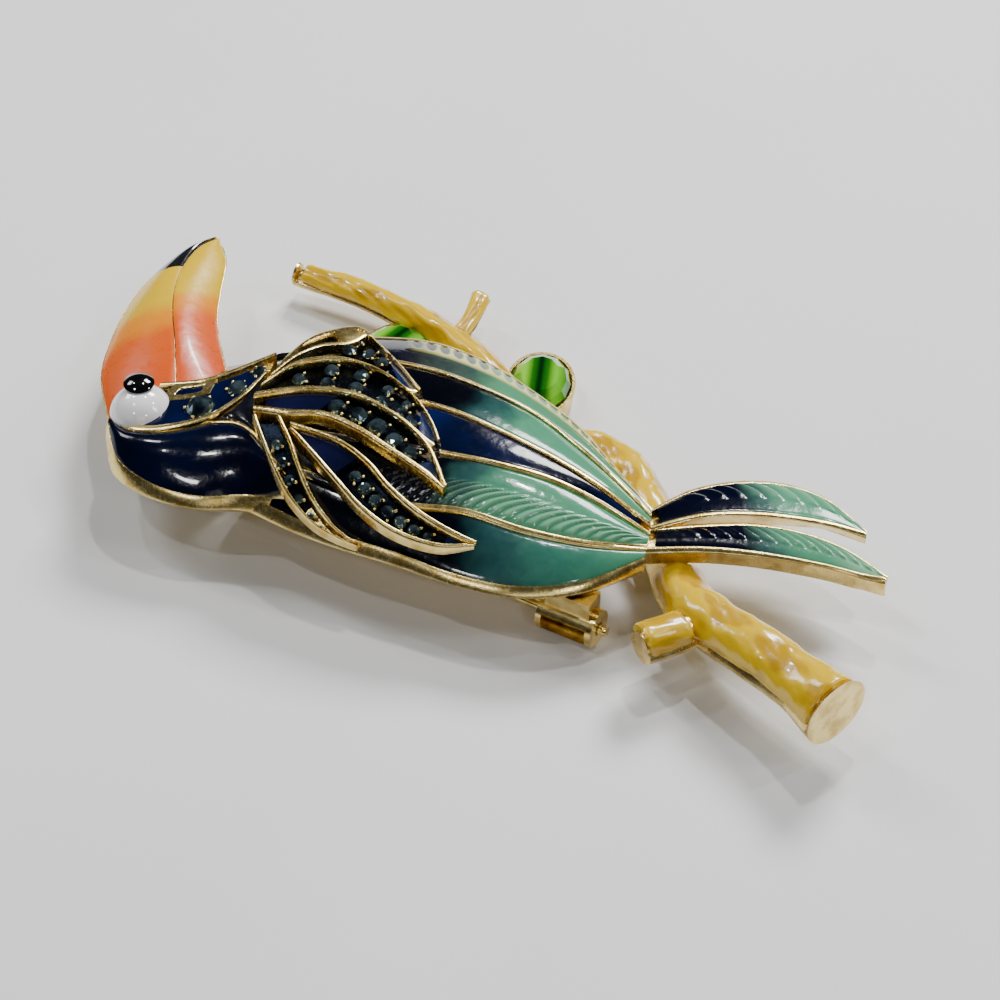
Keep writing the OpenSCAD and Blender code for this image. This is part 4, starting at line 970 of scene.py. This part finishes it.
def seat(letter, u, v):
    """Point between a feather's rims, with its along, side and up directions."""
    def point(x, y):
        a, b = curve(letter + "_near", [x]), curve(letter + "_far", [x])
        return between(a, b, [y], 0.0)[0, 0]
    t = point(u + 0.02, v) - point(u - 0.02, v)
    t /= np.linalg.norm(t)
    n = np.cross(t, point(u, 1) - point(u, 0))
    n /= np.linalg.norm(n)
    return point(u, v), t, np.cross(n, t), n


stone_paint = Paint("stone_glass", Metallic=0.85, IOR=1.65, Coat_Weight=0.6, Roughness=0.03)
stone_paint.colour(stone_paint.ramp(stone_paint.noise(0.8), [
    (0.35, srgb(34, 54, 68)), (0.65, srgb(124, 152, 164))]))
prongs = Shape()
for letter, rows in STONES.items():
    stones = Shape()
    for u, v, w in rows:
        p, t, s, n = seat(letter, u, v)
        p = p - [0, 0, FEATHER_SINK] + n * (0.22 * w + 0.16)
        brilliant(stones, p, (t, s, n), w)
        for side in (-1, 1):
            ball(prongs, p + (t + s * side) * w * BEAD_IN_ROW + n * 0.08, BEAD)
    stones.build("pave_" + letter, "pave_" + letter, stone_paint.material, sharp=1)
for name, (x, y, z, w) in HEAD_STONES.items():
    stones = Shape()
    brilliant(stones, np.array([x, y, z]), LEVEL, w)
    stones.build(name, name, stone_paint.material, sharp=1)
    for k in range(HEAD_BEADS):
        a = 2 * math.pi * k / HEAD_BEADS + 0.1 * math.pi
        reach = BEAD_ROUND * w
        ball(prongs, (x + reach * math.cos(a), y + reach * math.sin(a), z + 0.02), BEAD)
prongs.build("casting_prongs", "casting", gold_wire)


# Green stones and their cups.

# columns: x, y, turn in degrees, and where the bar from its cup ends in y
GREENS = {"green_stone_near": (-1.628, 18.87, 10, 14.06),
          "green_stone_far": (-15.91, 19.388, -25, 12.58)}
GREEN = (5.6, 7.4, 3.0)
GREEN_SIDES = 12
CUP_FLOOR = 0.9
CUP_LIP = GREEN[2] * 0.8
CROWN = GREEN[2] * 0.38
PAVILION = GREEN[2] * 0.5
# share of the stone's outline, and height over its girdle
GREEN_RINGS = [(0.12, -PAVILION), (0.55, -PAVILION * 0.62), (1.0, 0.0), (0.86, CROWN * 0.5),
               (0.62, CROWN)]
# share of the stone's outline, height, and what the outline grows by
CUP_RINGS = [(1.04, 0.0, 0.0), (1.10, CUP_LIP * 0.5, 0.0), (1.16, CUP_LIP - 0.15, 0.0),
             (1.14, CUP_LIP, 0.0), (1.05, CUP_LIP, 0.0), (1.0, CUP_LIP - 0.2, 0.1),
             (1.0, CUP_FLOOR + 0.6, 0.08), (0.6, CUP_FLOOR, 0.0)]


def oval(x, y, turn, share, z, grow=0.0, sides=48):
    """A ring of points at a share of the green stone's outline."""
    a = np.arange(sides) * 2 * math.pi / sides
    along = (GREEN[0] * share / 2 + grow) * np.cos(a)
    across = (GREEN[1] * share / 2 + grow) * np.sin(a)
    w = math.radians(turn)
    return np.stack([x + along * math.cos(w) - across * math.sin(w),
                     y + along * math.sin(w) + across * math.cos(w), np.full(sides, z)], 1)


def stacked(shape, rings, places=None):
    """Closed body through rings of equally many points, with its ends filled in."""
    size = len(rings), len(rings[0])
    shape.add(np.vstack(rings), end_faces(*size) + ring_faces(*size), places)


green_paint = Paint("green_glass", Transmission_Weight=0.3, IOR=1.6, Coat_Weight=0.8, Roughness=0.04)
# Painted light and shade: bright bands either side of a dark middle along the stone stand in for its
# inner reflections.
green_paint.colour(green_paint.ramp(green_paint.along(), [
    (0.0, srgb(30, 150, 20)), (0.24, srgb(150, 230, 60)), (0.40, srgb(20, 110, 14)),
    (0.50, srgb(2, 40, 6)), (0.60, srgb(20, 110, 14)), (0.76, srgb(130, 220, 50)),
    (1.0, srgb(20, 120, 16))]))
cups = Shape()
for name, (x, y, turn, _) in GREENS.items():
    stacked(cups, [oval(x, y, turn, share, z, grow) for share, z, grow in CUP_RINGS])
    girdle = CUP_FLOOR + 0.08 + PAVILION
    spokes = np.cos(np.arange(GREEN_SIDES) * 2 * math.pi / GREEN_SIDES)
    places = [np.stack([0.5 + 0.5 * share * spokes, np.full(GREEN_SIDES, share)], 1)
              for share, _ in GREEN_RINGS]
    stone = Shape()
    stacked(stone, [oval(x, y, turn, share, girdle + z, sides=GREEN_SIDES) for share, z in GREEN_RINGS],
            np.vstack(places))
    stone.build(name, name, green_paint.material, sharp=1)
for x, y, _, bar_end in GREENS.values():
    foot = y - GREEN[1] / 2
    path = [[x, foot, 1.3], [x, (foot + bar_end) / 2, 2.8], [x, bar_end - 1.2, 4.6]]
    tube(cups, path, 1.2, sides=20)
cups.build("casting_cups", "casting", gold)


# Pin and catch keep their exact shapes.

for name in ("pin_stem", "catch"):
    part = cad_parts[name]
    part.data.materials.clear()
    part.data.materials.append(gold_paint(name + "_gold", (0.15, 0.32)))


# Floor.

floor_paint = Paint("floor_paint")
floor_paint.colour(floor_paint.ramp(floor_paint.noise(0.02), [
    (0.35, srgb(228, 228, 229)), (0.65, srgb(231, 231, 232))]))
floor_paint.rough(floor_paint.noise(1.0), 0.6, 0.75)
floor_paint.bump(floor_paint.noise(3.0), 0.01, 0.3)
bpy.ops.mesh.primitive_plane_add(size=3.0, location=(0, 0, 0))
floor = bpy.context.object
floor.name = "floor"
floor.data.materials.append(floor_paint.material)


# Light. Every lamp looks at the origin.

# columns: place in metres, size in metres, power in watts
LIGHTS = {"key": ((0.09, 0.48, 0.43), (0.20, 0.16), 5.0),
          "side": ((-0.50, 0.22, 0.44), (0.18, 0.18), 1.3),
          "front": ((0.15, -0.50, 0.30), (0.30, 0.15), 0.2),
          "right": ((0.42, 0.02, 0.36), (0.08, 0.20), 0.5)}
# lamps for the glints: turn and height in degrees, power in watts
SPARKS = [(8, 66, 0.6), (62, 52, 0.25), (140, 40, 0.15), (-62, 55, 0.25), (-120, 66, 0.25),
          (-160, 45, 0.15)]
SPARK_REACH = 0.5
SPARK_SIZE = (0.022, 0.022)


def light(name, place, size, power):
    lamp = bpy.data.lights.new(name, "AREA")
    lamp.shape = "RECTANGLE"
    lamp.size, lamp.size_y = size
    lamp.energy = power
    obj = bpy.data.objects.new(name, lamp)
    obj.location = place
    obj.rotation_euler = (-Vector(place)).to_track_quat("-Z", "Y").to_euler()
    bpy.context.scene.collection.objects.link(obj)


def on_globe(turn, high):
    """Direction from the origin, turned from the Y axis and raised, in radians."""
    return np.array([math.sin(turn) * math.cos(high), math.cos(turn) * math.cos(high), math.sin(high)])


for name, (place, size, power) in LIGHTS.items():
    light("light_" + name, place, size, power)
for k, (turn, high, power) in enumerate(SPARKS):
    place = SPARK_REACH * on_globe(math.radians(turn), math.radians(high))
    light(f"light_spark_{k}", place, SPARK_SIZE, power)
world = bpy.data.worlds.new("studio")
world.use_nodes = True
sky = world.node_tree.nodes["Background"].inputs
sky["Color"].default_value = (0.9, 0.93, 1.0, 1)
sky["Strength"].default_value = 0.025
bpy.context.scene.world = world


# Camera.

AZIMUTH, ELEVATION, DISTANCE = math.radians(16), math.radians(45), 260 * MM
AIM = (SHIFT + np.array([0, 0, 6.0])) * MM
camera = bpy.data.cameras.new("camera")
camera.lens = 109.5
camera.sensor_width = 36
camera.clip_start = 0.01
view = bpy.data.objects.new("camera", camera)
towards_camera = on_globe(math.pi - AZIMUTH, ELEVATION)
view.location = AIM + DISTANCE * towards_camera
view.rotation_euler = Vector(-towards_camera).to_track_quat("-Z", "Y").to_euler()
bpy.context.scene.collection.objects.link(view)
bpy.context.scene.camera = view
